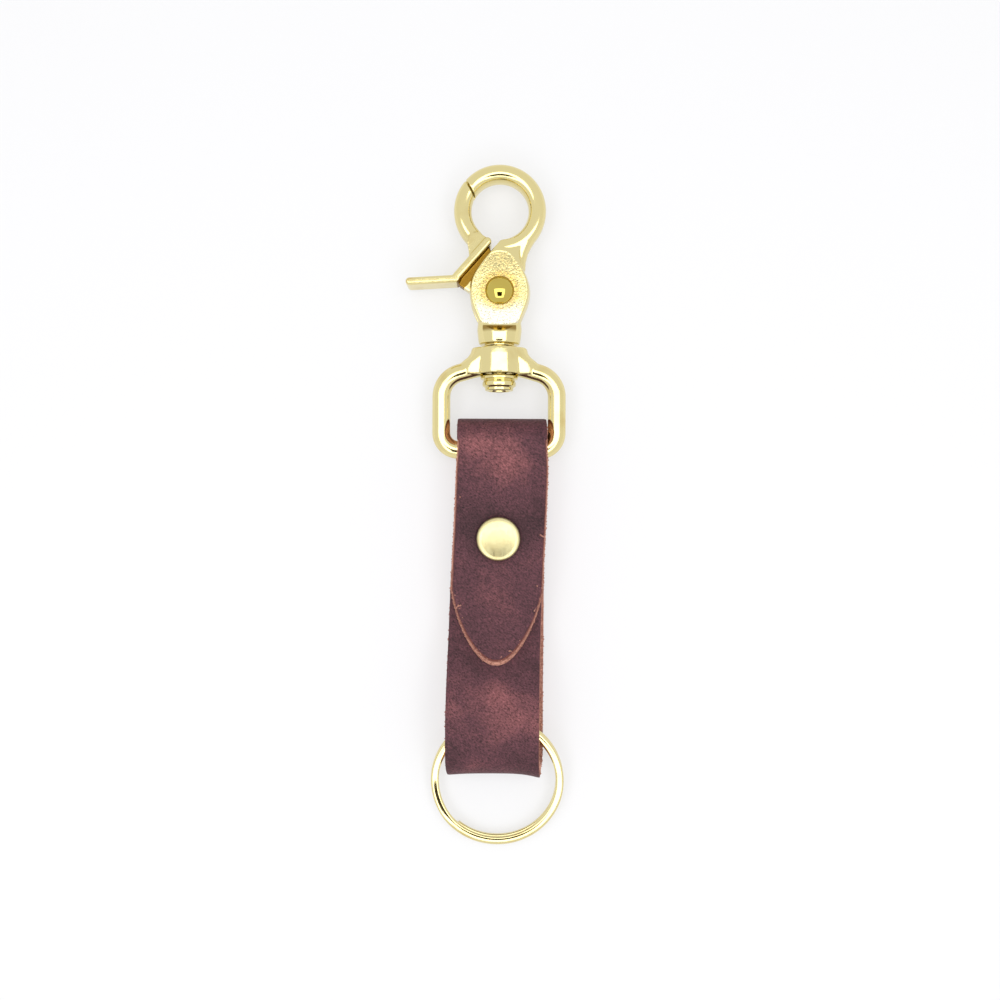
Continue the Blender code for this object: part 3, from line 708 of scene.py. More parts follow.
def frosted_sheet(name, base, glow):
    """Frosted sheet lit from below too: no gloss, faint shadows and a tooth that is only a softness."""
    made, tree, shader = new_material(name, base, 0.0, 0.95)
    shader.inputs["Emission Color"].default_value = rgba(linear("#FFFFFF"))
    shader.inputs["Emission Strength"].default_value = glow
    place = add_node(tree, "ShaderNodeTexCoord").outputs["Object"]
    tooth = add_node(
        tree,
        "ShaderNodeTexNoise",
        None,
        {"Vector": place, "Scale": 1 / (0.5 * MM)},
    ).outputs["Fac"]
    bump = add_node(tree, "ShaderNodeBump", None, {"Strength": 0.05, "Distance": 0.02 * MM, "Height": tooth})
    tree.links.new(bump.outputs["Normal"], shader.inputs["Normal"])
    return made


def dark_cloth(name):
    """The opening in the lamp panel, which the bright metal reflects as a brown spot."""
    return new_material(name, linear("#33291F"), 0.0, 1.0)[0]


# Mesh tools


def to_object(bm, name, place=(0.0, 0.0, 0.0)):
    """Makes an object at the origin from a bmesh, moved to its place and with its faces pointing out."""
    bm.transform(Matrix.Translation(place))
    bmesh.ops.recalc_face_normals(bm, faces=bm.faces)
    mesh = bpy.data.meshes.new(name)
    bm.to_mesh(mesh)
    bm.free()
    obj = bpy.data.objects.new(name, mesh)
    bpy.context.scene.collection.objects.link(obj)
    return obj


def apply_modifiers(obj):
    """Replaces the mesh by what its modifiers make of it."""
    depsgraph = bpy.context.evaluated_depsgraph_get()
    mesh = bpy.data.meshes.new_from_object(obj.evaluated_get(depsgraph), depsgraph=depsgraph)
    obj.modifiers.clear()
    obj.data = mesh


def combine(obj, operation, *others):
    """Adds other objects to this one or cuts them from it, and removes them."""
    for other in others:
        modifier = obj.modifiers.new(other.name, "BOOLEAN")
        modifier.operation = operation
        modifier.solver = "EXACT"
        modifier.use_self = True
        modifier.object = other
    apply_modifiers(obj)
    for other in others:
        bpy.data.objects.remove(other)


def cast(obj, voxel, passes):
    """Melts the joined parts of a casting into one skin, with its corners rounded by the polishing."""
    remesh = obj.modifiers.new("one_skin", "REMESH")
    remesh.mode = "VOXEL"
    remesh.voxel_size = voxel
    smooth = obj.modifiers.new("polishing", "SMOOTH")
    smooth.factor = 0.5
    smooth.iterations = passes
    apply_modifiers(obj)
    obj.data.shade_smooth()


def points_of(obj):
    """The places of the points of a mesh, one to a row."""
    co = np.empty(len(obj.data.vertices) * 3, np.float32)
    obj.data.vertices.foreach_get("co", co)
    return co.reshape(-1, 3).astype(float)


def set_points(obj, co):
    """Moves the points of a mesh to these places."""
    obj.data.vertices.foreach_set("co", co.astype(np.float32).ravel())
    obj.data.update()


def add_values(obj, name, values):
    """Adds a named value to each point of a mesh."""
    attribute = obj.data.attributes.new(name, "FLOAT", "POINT")
    attribute.data.foreach_set("value", np.asarray(values, np.float32))


def finish_piece(obj, body, nodes, slot, *materials):
    """Gives a finished piece its materials and its body, and hides the CAD nodes that it stands for. The slot
    is not used.
    """
    for material in materials:
        if material.name not in obj.data.materials:
            obj.data.materials.append(material)
    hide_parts(*nodes)
    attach(obj, body)


def swept(rings, closed=False):
    """A solid through rings of points, closed on itself or with a face at each end."""
    bm = bmesh.new()
    loops = [[bm.verts.new(point) for point in ring] for ring in rings]
    pairs = list(zip(loops, loops[1:]))
    if closed:
        pairs.append((loops[-1], loops[0]))
    else:
        bm.faces.new(loops[0])
        bm.faces.new(loops[-1])
    for ring, following in pairs:
        for i in range(len(ring)):
            j = (i + 1) % len(ring)
            bm.faces.new((ring[i], ring[j], following[j], following[i]))
    return bm


def lathe(profile, sides=96, along="Z"):
    """A solid turned from (radius, height) points that start and end on the axis."""
    rings = []
    for radius, height in profile[1:-1]:
        turns = [2 * math.pi * i / sides for i in range(sides)]
        rings.append([Vector((radius * math.cos(a), radius * math.sin(a), height)) for a in turns])
    bm = bmesh.new()
    loops = [[bm.verts.new(point) for point in ring] for ring in rings]
    ends = [bm.verts.new((0, 0, profile[0][1])), bm.verts.new((0, 0, profile[-1][1]))]
    for ring, following in zip(loops, loops[1:]):
        for i in range(sides):
            j = (i + 1) % sides
            bm.faces.new((ring[i], ring[j], following[j], following[i]))
    for end, ring in zip(ends, (loops[0], loops[-1])):
        for i in range(sides):
            bm.faces.new((end, ring[i], ring[(i + 1) % sides]))
    if along == "Y":
        bm.transform(Matrix.Rotation(-math.pi / 2, 4, "X"))
    return bm


def rounded(profile, radius, steps=5):
    """The same (radius, height) line with its inner corners rounded."""
    line = [Vector(point) for point in profile]
    made = [line[0]]
    for before, corner, after in zip(line, line[1:], line[2:]):
        back, on = before - corner, after - corner
        reach = min(radius, back.length * 0.45, on.length * 0.45)
        start, end = corner + back.normalized() * reach, corner + on.normalized() * reach
        for i in range(steps + 1):
            t = i / steps
            made.append(start * (1 - t) ** 2 + corner * 2 * t * (1 - t) + end * t**2)
    made.append(line[-1])
    return [tuple(point) for point in made]


def bar_section(centre, out, up, radius, deep, sides):
    """A round section, or one that is deep times as high as wide, with flatter sides below its middle."""
    points = []
    for i in range(sides):
        c, s = math.cos(2 * math.pi * i / sides), math.sin(2 * math.pi * i / sides)
        square = 2.0 if deep == 1.0 else (2.3 if s > 0 else 3.6)
        bulge = (abs(c) ** square + abs(s) ** square) ** (-1 / square)
        points.append(centre + radius * bulge * (c * out + deep * s * up))
    return points


def bar_along(line, radii, sides=36, closed=False, deep=1.0):
    """A bar in the XY plane along a line of points, with a radius at each."""
    up = Vector((0, 0, 1))
    rings = []
    last = len(line) - 1
    for i, point in enumerate(line):
        before = line[i - 1] if closed or i > 0 else line[i]
        after = line[(i + 1) % len(line)] if closed or i < last else line[i]
        out = (after - before).normalized().cross(up)
        rings.append(bar_section(point, out, up, radii[i], deep, sides))
    return swept(rings, closed)


def arc_line(centre, radius, start, end, steps):
    """Points along an arc in the XY plane, with its angles in degrees."""
    angles = [math.radians(start + (end - start) * i / steps) for i in range(steps + 1)]
    return [Vector((centre[0] + radius * math.cos(a), centre[1] + radius * math.sin(a), 0)) for a in angles]


def plate(outline, low, high, along="Z"):
    """A solid of one outline, from low to high along Z, or along X for an outline in Y and Z."""
    if along == "Z":
        rings = [[Vector((a, b, level)) for a, b in outline] for level in (low, high)]
    else:
        rings = [[Vector((level, a, b)) for a, b in outline] for level in (low, high)]
    return swept(rings)


def in_mm(points):
    """Points that are written in millimetres, in metres."""
    return [(x * MM, y * MM) for x, y in points]


def softened(outline, rounds=2):
    """The same closed outline with its corners cut again and again, which makes it a smooth curve."""
    points = np.array(outline, float)
    for _ in range(rounds):
        following = np.roll(points, -1, axis=0)
        nearer, further = 0.75 * points + 0.25 * following, 0.25 * points + 0.75 * following
        points = np.stack([nearer, further], 1).reshape(-1, 2)
    return [tuple(point) for point in points]


def inset(outline, amount):
    """The same closed outline, drawn in by an amount on all its sides."""
    points = np.array(outline, float)
    along = np.roll(points, -1, axis=0) - np.roll(points, 1, axis=0)
    along /= np.linalg.norm(along, axis=1)[:, None]
    normal = np.stack([along[:, 1], -along[:, 0]], 1)
    x, y = points[:, 0], points[:, 1]
    turns_left = np.sum(x * np.roll(y, -1) - y * np.roll(x, -1)) > 0
    return [tuple(p) for p in points - normal * amount * (1 if turns_left else -1)]


def depth_inside(points, outline):
    """How far points in the XY plane lie inside an outline; negative outside it."""
    corners = np.array(outline, float)
    nearest = np.full(len(points), np.inf)
    inside = np.zeros(len(points), bool)
    for a, b in zip(corners, np.roll(corners, -1, axis=0)):
        edge = b - a
        share = np.clip(((points - a) @ edge) / (edge @ edge), 0, 1)
        nearest = np.minimum(nearest, np.linalg.norm(points - a - share[:, None] * edge, axis=1))
        crosses = (a[1] > points[:, 1]) != (b[1] > points[:, 1])
        rise = (b[1] - a[1]) or 1e-12
        inside ^= crosses & (points[:, 0] < (b[0] - a[0]) * (points[:, 1] - a[1]) / rise + a[0])
    return np.where(inside, nearest, -nearest)


def smooth_step(value):
    """0 to 1 with a soft start and a soft end."""
    value = np.clip(value, 0.0, 1.0)
    return value * value * (3 - 2 * value)


# Strap

# Places of the leather, measured from the bar along the strap and from the table upwards
RIVET_Y = -18.5 * MM
CAP_RADIUS = 4.5 * MM
FLAP_TIP_Y = -44.3 * MM
FLAP_TIP_WIDTH = 1.2 * MM
BAR_SLACK_Y = 1.7 * MM
BAR_FOLD_RADIUS = 3.55 * MM
RING_FOLD_Y = -61.8 * MM
RING_FOLD_Z = 5.8 * MM
RING_FOLD_RADIUS = 4.45 * MM
INNER_END_Y = -6.0 * MM
TAPER_TOP_Y = -34.72 * MM
TAPER_LENGTH = 23.0 * MM
BACK_Z = 2.25 * MM
MIDDLE_Z = 5.25 * MM
FRONT_Z = 8.25 * MM
RIVET_PRESS = 0.12 * MM
PRESS_FADE = 1.5 * MM


def ring_loop(y):
    """0 where the layers lie together, 1 where the loop round the key ring is fully open."""
    return smooth_step((TAPER_TOP_Y - y) / TAPER_LENGTH)


def bar_loop(y):
    """0 at the rivet, 1 at the loop round the bar."""
    return smooth_step((y - RIVET_Y - CAP_RADIUS) / (-RIVET_Y - 2 * CAP_RADIUS))


def pressed(y):
    """How far the caps of the rivet press the leather in."""
    return RIVET_PRESS * (1 - smooth_step((np.abs(y - RIVET_Y) - CAP_RADIUS) / PRESS_FADE))


def middle_z(y):
    """Height of the inner layer's middle line."""
    midway = MIDDLE_Z + (BAR.z - MIDDLE_Z) * bar_loop(y)
    return midway + (RING_FOLD_Z + RING_FOLD_RADIUS - MIDDLE_Z) * ring_loop(y)


def front_z(y):
    """Height of the front layer's middle line."""
    flat = FRONT_Z + (BAR.z + BAR_FOLD_RADIUS - FRONT_Z) * bar_loop(y)
    raised = FRONT_Z + (RING_FOLD_Z + RING_FOLD_RADIUS - MIDDLE_Z) * ring_loop(y)
    return np.maximum(flat, raised) - pressed(y)


def back_z(y):
    """Height of the back layer's middle line."""
    lowered = np.maximum(ring_loop(y), bar_loop(y))
    return BACK_Z + (1.35 * MM - BACK_Z) * lowered + pressed(y)


def strap_line(strap):
    """The leather's middle line as rows of y, z, share of full width and sideways slip."""
    blunt = FLAP_TIP_WIDTH / strap.width
    share = np.linspace(blunt, 1, 46)[:-1]
    point_y = FLAP_TIP_Y + strap.flap_point * (0.83 * share**2 + 0.17 * share**10)
    front_y = np.linspace(FLAP_TIP_Y + strap.flap_point, BAR_SLACK_Y, 92)
    bar_turn = np.radians(np.linspace(90, -90, 34))[1:-1]
    back_y = np.linspace(BAR_SLACK_Y, RING_FOLD_Y, 176)
    ring_turn = np.radians(np.linspace(-90, -270, 42))[1:-1]
    middle_y = np.linspace(RING_FOLD_Y, INNER_END_Y, 150)
    front = np.concatenate([point_y, front_y])
    slip_front = -0.35 * strap.lean * smooth_step(-(front + 10 * MM) / (33 * MM))
    slip_middle = -strap.lean * smooth_step(-(middle_y + 12 * MM) / (46 * MM))
    turned = smooth_step(np.linspace(0, 1, len(ring_turn)))
    parts = [
        (front, front_z(front), np.concatenate([share, np.ones(len(front_y))]), slip_front),
        (
            BAR_SLACK_Y + BAR_FOLD_RADIUS * np.cos(bar_turn),
            BAR.z + BAR_FOLD_RADIUS * np.sin(bar_turn),
            np.ones(len(bar_turn)),
            np.zeros(len(bar_turn)),
        ),
        (back_y, back_z(back_y), np.ones(len(back_y)), np.zeros(len(back_y))),
        (
            RING_FOLD_Y + RING_FOLD_RADIUS * np.cos(ring_turn),
            RING_FOLD_Z + RING_FOLD_RADIUS * np.sin(ring_turn),
            np.ones(len(ring_turn)),
            -strap.lean * turned,
        ),
        (middle_y, middle_z(middle_y), np.ones(len(middle_y)), slip_middle),
    ]
    columns = [np.concatenate([part[i] for part in parts]) for i in range(4)]
    counts = [len(part[0]) for part in parts]
    return np.stack(columns, 1), counts


def wander(values, seed, amount):
    """A slow random wave along a row of values, as a hand-held knife leaves."""
    rng = np.random.default_rng(seed)
    made = np.zeros(len(values))
    for cycles in (3, 7, 13, 29, 53):
        made += rng.uniform(0.3, 1) / cycles**0.5 * np.sin(cycles * values * 6.3 + rng.uniform(0, 6.3))
    return made * amount


def gaussian(y, place, spread):
    """A soft bump of height 1 round a place."""
    return np.exp(-(((y - place) / spread) ** 2))


def make_strap_mesh(strap):
    """The folded strap: each row of points goes round one cross-section of the leather."""
    line, counts = strap_line(strap)
    y, z, share, slip = line.T
    rows = len(line)
    ahead = np.roll(line[:, :2], -1, axis=0)
    behind = np.roll(line[:, :2], 1, axis=0)
    ahead[-1], behind[0] = line[-1, :2], line[0, :2]
    along = ahead - behind
    along /= np.linalg.norm(along, axis=1)[:, None]
    out = np.stack([-along[:, 1], along[:, 0]], 1)
    travelled = np.concatenate([[0], np.cumsum(np.linalg.norm(np.diff(line[:, :2], axis=0), axis=1))])

    half = share * strap.width / 2 * (1 - 0.03 * smooth_step((y + 5 * MM) / (7 * MM)))
    # The flap's outline faces more and more towards its tip as it narrows
    slope = np.gradient(half, travelled)
    facing_tip = np.where(share < 1, np.clip(slope / np.sqrt(1 + slope**2), 0, 1), 0.0)
    facing_side = np.sqrt(1 - facing_tip**2)
    on_flap = np.arange(rows) < counts[0]
    flap_skive = strap.skive + (strap.tip_skive - strap.skive) * facing_tip
    skive_right = np.where(on_flap, flap_skive, strap.under_skive)
    skive_left = np.where(on_flap, skive_right, 0.0)

    top = 44
    side_steps = 7
    columns = 2 * top + 2 * side_steps
    across = np.linspace(-1, 1, top)
    across = np.sign(across) * (1 - (1 - np.abs(across)) ** 1.25)
    thick = strap.thickness / 2
    edge_left = wander(travelled / travelled[-1], 3, 0.035 * MM)
    edge_right = wander(travelled / travelled[-1], 8, 0.035 * MM)
    x = np.zeros((rows, columns))
    n = np.zeros((rows, columns))
    shift = np.zeros((rows, columns))
    depth = np.zeros((rows, columns))
    top_right = np.maximum(half - skive_right * facing_side, 0.25 * half)
    top_left = np.maximum(half - skive_left * facing_side, 0.25 * half)
    for j, a in enumerate(across):
        x[:, j] = a * (top_right if a > 0 else top_left)
        n[:, j] = thick
        shift[:, j] = skive_right * facing_tip
        x[:, top + side_steps + j] = -a * half
        n[:, top + side_steps + j] = -thick
    for k in range(side_steps):
        t = (k + 0.5) / side_steps
        bulge = 0.06 * MM * math.sin(math.pi * t)
        for first, way, top_half in ((top, 1, top_right), (2 * top + side_steps, -1, top_left)):
            j = first + (k if way > 0 else side_steps - 1 - k)
            x[:, j] = way * (top_half + (half - top_half) * t + bulge)
            n[:, j] = thick - 2 * thick * t
            shift[:, j] = skive_right * facing_tip * (1 - t)
            depth[:, j] = t
    depth[:, top + side_steps : 2 * top + side_steps] = 1.0
    # The grain side rolls over a little at its two edges
    reach = np.where(x[:, :top] > 0, top_right[:, None], top_left[:, None])
    near_edge = np.clip((np.abs(x[:, :top]) - reach + 0.5 * MM) / (0.5 * MM), 0, 1)
    n[:, :top] -= 0.12 * MM * near_edge**2
    x += np.where(x > 0, edge_right[:, None], edge_left[:, None])
    x += slip[:, None] + (strap.top_slip * smooth_step((y + 30 * MM) / (30 * MM)))[:, None]

    place_y = y[:, None] + out[:, 0][:, None] * n + along[:, 0][:, None] * shift
    place_z = z[:, None] + out[:, 1][:, None] * n + along[:, 1][:, None] * shift

    # The loop round the key ring is pulled down at its right corner and a little at its left one
    fold = smooth_step((RING_FOLD_Y + 3.5 * MM - y) / (7 * MM))[:, None]
    right = np.clip(x / (strap.width / 2), 0, 1.1) ** 3
    left = np.clip(-x / (strap.width / 2), 0, 1.1) ** 3
    place_y -= fold * (strap.flare * right + 0.25 * strap.flare * left)

    # The rivet draws the leather in round its caps
    from_cap = np.hypot(x, place_y - RIVET_Y) - CAP_RADIUS
    dimple = 0.22 * MM * np.exp(-np.clip(from_cap, 0, None) / (0.7 * MM))
    ring_mark = 0.03 * MM * gaussian(from_cap, 1.8 * MM, 0.35 * MM)
    front_rows = np.zeros(rows, bool)
    front_rows[: counts[0]] = True
    back_rows = np.zeros(rows, bool)
    back_rows[counts[0] + counts[1] : sum(counts[:3])] = True
    grain_columns = np.arange(columns) < top
    drawn_in = (dimple + ring_mark) * grain_columns[None, :]
    place_z -= drawn_in * front_rows[:, None]
    place_z += 0.5 * drawn_in * back_rows[:, None]

    co = np.stack([x + BAR.x, place_y + BAR.y, place_z], 2).reshape(-1, 3)
    index = np.arange(rows * columns).reshape(rows, columns)
    after = np.roll(index, -1, axis=1)
    quads = np.stack([index[:-1], index[1:], after[1:], after[:-1]], 2).reshape(-1, 4)
    faces = [tuple(q) for q in quads.tolist()]
    kind = np.zeros(columns, int)
    kind[top - 1 : top + side_steps] = 1
    kind[top + side_steps : 2 * top + side_steps - 1] = 2
    kind[2 * top + side_steps - 1 :] = 1
    kinds = np.tile(kind, rows - 1).tolist()
    faces += [tuple(index[0].tolist()), tuple(reversed(index[-1].tolist()))]
    kinds += [1, 1]

    mesh = bpy.data.meshes.new("leather_strap")
    mesh.from_pydata(co.tolist(), [], faces)
    mesh.polygons.foreach_set("material_index", kinds)
    uv = mesh.uv_layers.new(name="along_leather")
    loops = np.empty(len(mesh.loops), np.int32)
    mesh.loops.foreach_get("vertex_index", loops)
    u = np.repeat(travelled, columns)
    v = (strap.thickness * depth).reshape(-1)
    uv.data.foreach_set("uv", np.stack([u[loops], v[loops]], 1).astype(np.float32).ravel())
    obj = bpy.data.objects.new("leather_strap", mesh)
    bpy.context.scene.collection.objects.link(obj)
    add_values(obj, "edge_depth", depth.reshape(-1))
    add_values(obj, "tone", dye_and_painted_shade_tone(x, place_y, rows, columns, counts).reshape(-1))
    add_values(obj, "fray", strap_fray(y, depth, counts, rows, columns).reshape(-1))
    return obj


def dye_and_painted_shade_tone(x, place_y, rows, columns, counts):
    """Redder where the dye is rubbed, above 0, and darker, below 0; beside the dye's own patches these are the
    painted shadow under the flap's tip, painted light on the loop's rise and painted shade at the fold round
    the key ring.
    """
    tone = np.full((rows, columns), 0.0)
    front = slice(0, counts[0] + counts[1])
    middle = slice(sum(counts[:3]), rows)
    on_front = (
        0.34 * gaussian(place_y, 1.2 * MM, 3.0 * MM) * gaussian(x, -1.0 * MM, 7.0 * MM)
        + 0.38 * gaussian(place_y, -5.0 * MM, 4.5 * MM) * gaussian(x, 1.0 * MM, 7.5 * MM)
        - 0.30 * gaussian(place_y, -14.5 * MM, 4.5 * MM)
        + 0.10 * gaussian(place_y, -29.0 * MM, 5.0 * MM) * gaussian(x, 0.0, 4.0 * MM)
        - 0.10 * gaussian(np.hypot(x, place_y - RIVET_Y), 5.2 * MM, 1.6 * MM)
        - 0.10 * gaussian(place_y, -41.0 * MM, 4.0 * MM)
    )
    on_middle = (
        # Painted shadow under the flap's tip, painted light on the loop's rise and painted shade at the fold
        # round the key ring
        -0.22 * gaussian(place_y, -44.0 * MM, 3.5 * MM)
        + 0.44 * gaussian(place_y, -53.0 * MM, 6.0 * MM) * gaussian(x, 0.0, 9.0 * MM)
        - 0.16 * gaussian(place_y, -62.5 * MM, 2.6 * MM)
    )
    tone[front] = on_front[front]
    tone[middle] = on_middle[middle]
    return tone


def strap_fray(y, depth, counts, rows, columns):
    """How much the cut edge has frayed: most along the flanks of the flap, a little elsewhere."""
    edge = np.sin(np.pi * np.clip(depth, 0, 1)) > 0.05
    fray = np.zeros((rows, columns))
    fray[: counts[0]] = 0.25
    flank = gaussian(y, FLAP_TIP_Y + 13 * MM, 4.5 * MM) + 0.6 * gaussian(y, FLAP_TIP_Y + 4 * MM, 5 * MM)
    fray[: counts[0]] += flank[: counts[0], None]
    fray[counts[0] :] = 0.12
    return fray * edge * np.where(depth > 0.35, 1.0, 0.15)


def fibre_tree(material):
    """Geometry Nodes that set short bent fibres on the frayed faces of the strap."""
    tree = bpy.data.node_groups.new("edge_fibres", "GeometryNodeTree")
    tree.interface.new_socket("Geometry", in_out="OUTPUT", socket_type="NodeSocketGeometry")
    tree.interface.new_socket("Geometry", in_out="INPUT", socket_type="NodeSocketGeometry")
    for name in ("Density", "Length", "Width"):
        tree.interface.new_socket(name, in_out="INPUT", socket_type="NodeSocketFloat")
    given = add_node(tree, "NodeGroupInput").outputs
    fray = add_node(tree, "GeometryNodeInputNamedAttribute", {"data_type": "FLOAT"}, {"Name": "fray"})
    density = add_node(
        tree, "ShaderNodeMath", {"operation": "MULTIPLY"}, {0: given["Density"], 1: fray.outputs["Attribute"]}
    )
    points = add_node(
        tree,
        "GeometryNodeDistributePointsOnFaces",
        None,
        {"Mesh": given["Geometry"], "Density": density.outputs[0], "Seed": 4},
    )
    bent = add_node(
        tree,
        "GeometryNodeCurveQuadraticBezier",
        None,
        {"Resolution": 3, "Start": (0.0, 0.0, -0.1), "Middle": (0.05, 0.0, 0.6), "End": (0.45, 0.15, 0.9)},
    )
    slender = add_node(
        tree, "ShaderNodeMath", {"operation": "DIVIDE"}, {0: given["Width"], 1: given["Length"]}
    )
    outline = add_node(
        tree, "GeometryNodeCurvePrimitiveCircle", None, {"Resolution": 3, "Radius": slender.outputs[0]}
    )
    fibre = add_node(
        tree,
        "GeometryNodeCurveToMesh",
        None,
        {"Curve": bent.outputs["Curve"], "Profile Curve": outline.outputs["Curve"], "Fill Caps": True},
    )
    tumble = add_node(
        tree,
        "FunctionNodeRandomValue",
        {"data_type": "FLOAT_VECTOR"},
        {"Min": (-0.9, -0.9, -3.14), "Max": (0.9, 0.9, 3.14), "Seed": 11},
    )
    as_rotation = add_node(
        tree, "FunctionNodeEulerToRotation", None, {"Euler": tumble.outputs["Value"]}
    )
    turned = add_node(
        tree,
        "FunctionNodeRotateRotation",
        {"rotation_space": "LOCAL"},
        {"Rotation": points.outputs["Rotation"], "Rotate By": as_rotation.outputs["Rotation"]},
    )
    chance = add_node(
        tree, "FunctionNodeRandomValue", {"data_type": "FLOAT"}, {"Min": 0.55, "Max": 1.35, "Seed": 23}
    )
    uneven = add_node(
        tree, "ShaderNodeMath", {"operation": "POWER"}, {0: chance.outputs["Value"], 1: 3.0}
    )
    scale = add_node(
        tree, "ShaderNodeMath", {"operation": "MULTIPLY"}, {0: uneven.outputs[0], 1: given["Length"]}
    )
    placed = add_node(
        tree,
        "GeometryNodeInstanceOnPoints",
        None,
        {
            "Points": points.outputs["Points"],
            "Instance": fibre.outputs["Mesh"],
            "Rotation": turned.outputs["Rotation"],
            "Scale": scale.outputs[0],
        },
    )
    real = add_node(tree, "GeometryNodeRealizeInstances", None, {"Geometry": placed.outputs["Instances"]})
    dressed = add_node(
        tree, "GeometryNodeSetMaterial", None, {"Geometry": real.outputs["Geometry"], "Material": material}
    )
    add_node(tree, "NodeGroupOutput", None, {"Geometry": dressed.outputs["Geometry"]})
    return tree


def run_tree(obj, tree, values):
    """Runs a Geometry Nodes tree on an object with these inputs, and keeps the result as its plain mesh."""
    modifier = obj.modifiers.new(tree.name, "NODES")
    modifier.node_group = tree
    sockets = {item.name: item.identifier for item in tree.interface.items_tree if item.in_out == "INPUT"}
    for name, value in values.items():
        modifier[sockets[name]] = value
    apply_modifiers(obj)


class FOB_OT_strap(bpy.types.Operator):
    """Make the folded leather strap and the loose fibres on its cut edges"""

    bl_idname = "fob.strap"
    bl_label = "Leather Strap"

    def execute(self, context):
        strap = context.scene.key_fob.strap
        obj = make_strap_mesh(strap)
        fibres = bpy.data.objects.new("edge_fibres", obj.data.copy())
        context.scene.collection.objects.link(fibres)
        finish_piece(
            obj,
            "fob",
            ["strap"],
            "burgundy_leather",
            waxed_leather("waxed_cowhide", strap),
            cut_leather("cut_cowhide", strap),
            flesh_side("cowhide_flesh_side", strap),
        )
        obj.data.shade_smooth()
        obj.data.set_sharp_from_angle(angle=math.radians(40))
        material = loose_fibre("cowhide_fibre", strap)
        run_tree(
            fibres,
            fibre_tree(material),
            {"Density": strap.fibres / MM**2, "Length": strap.fibre_length, "Width": strap.fibre_width},
        )
        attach(fibres, "fob")
        return {"FINISHED"}


# Rivet


class FOB_OT_rivet(bpy.types.Operator):
    """Make the two caps of the rivet that holds the layers of leather together"""

    bl_idname = "fob.rivet"
    bl_label = "Double-Cap Rivet"

    def execute(self, context):
        rivet = context.scene.key_fob.rivet
        brass = context.scene.key_fob.brass
        plating = satin_plating("brushed_antique_brass", brass.cap, brass.deep)
        centre = (CAP_LOW + CAP_HIGH) / 2
        radius = (CAP_HIGH.x - CAP_LOW.x) / 2
        top = CAP_HIGH.z
        seat = top - 1.1 * MM
        crown = [(0, top), (radius * 0.45, top - 0.06 * MM), (radius - rivet.shoulder, top - 0.2 * MM)]
        shoulder = [
            (radius - 0.28 * rivet.shoulder, top - 0.42 * MM),
            (radius, seat + rivet.rim),
            (radius, seat + 0.08 * MM),
            (radius - 0.12 * MM, seat),
        ]
        socket = [(1.9 * MM, seat), (1.9 * MM, CAP_LOW.z), (1.3 * MM, CAP_LOW.z), (1.3 * MM, seat), (0, seat)]
        bm = lathe(rounded(crown + shoulder, 0.3 * MM, 4) + socket, 128)
        front = to_object(bm, "front_cap", (centre.x, centre.y, 0))
        smooth_with_corners(front)
        finish_piece(front, "fob", ["rivet_cap"], "antique_brass", plating)
        centre = (POST_LOW + POST_HIGH) / 2
        low = POST_LOW.z
        seat = low + 0.7 * MM
        profile = [
            (0, low),
            (radius * 0.55, low + 0.03 * MM),
            (radius * 0.85, low + 0.16 * MM),
            (radius, seat - 0.1 * MM),
            (radius - 0.12 * MM, seat),
            (1.0 * MM, seat),
            (1.0 * MM, POST_HIGH.z),
            (0, POST_HIGH.z),
        ]
        bm = lathe(rounded(profile, 0.25 * MM, 4), 128)
        rear = to_object(bm, "rear_cap_and_post", (centre.x, centre.y, 0))
        smooth_with_corners(rear)
        finish_piece(rear, "fob", ["rivet_post"], "antique_brass", plating)
        return {"FINISHED"}


def smooth_with_corners(obj, angle=38):
    """Smooth shading that keeps the edges over this many degrees sharp."""
    obj.data.shade_smooth()
    obj.data.set_sharp_from_angle(angle=math.radians(angle))


# Swivel eye, pin and washer


def eye_line(eye):
    """Middle line of the frame's bar, from the middle of its straight side round to the same place."""
    half = (eye.inner_width + eye.wire) / 2
    top = eye.inner_height + eye.wire
    corner, shoulder, arch = 3.6 * MM, 5.2 * MM, 1.4 * MM
    line = [Vector(((half - corner) * i / 8, 0, 0)) for i in range(8)]
    line += arc_line((half - corner, corner), corner, -90, 0, 14)
    line += [Vector((half, corner + (top - arch - shoulder - corner) * i / 6, 0)) for i in range(1, 6)]
    line += arc_line((half - shoulder, top - arch - shoulder), shoulder, 0, 78, 14)
    last = line[-1]
    for i in range(1, 9):
        t = i / 8
        line.append(Vector((last.x * (1 - t), last.y + (top - last.y) * math.sin(math.pi / 2 * t), 0)))
    mirrored = [Vector((-p.x, p.y, 0)) for p in reversed(line[1:-1])]
    return line + mirrored


def hub_part(eye, name, rows, square):
    """One part of the hub, through oval sections given as height below its top, half width and half depth."""
    top = eye.wire / 2 + eye.inner_height + eye.hub_height
    rings = []
    for down, half_x, half_z in rows:
        ring = []
        for i in range(96):
            a = 2 * math.pi * i / 96
            c, s = math.cos(a), math.sin(a)
            bulge = (abs(c) ** square + abs(s) ** square) ** (-1 / square)
            ring.append(Vector((half_x * MM * bulge * c, top - down * MM, half_z * MM * bulge * s)))
        rings.append(ring)
    return to_object(swept(rings), name, BAR)


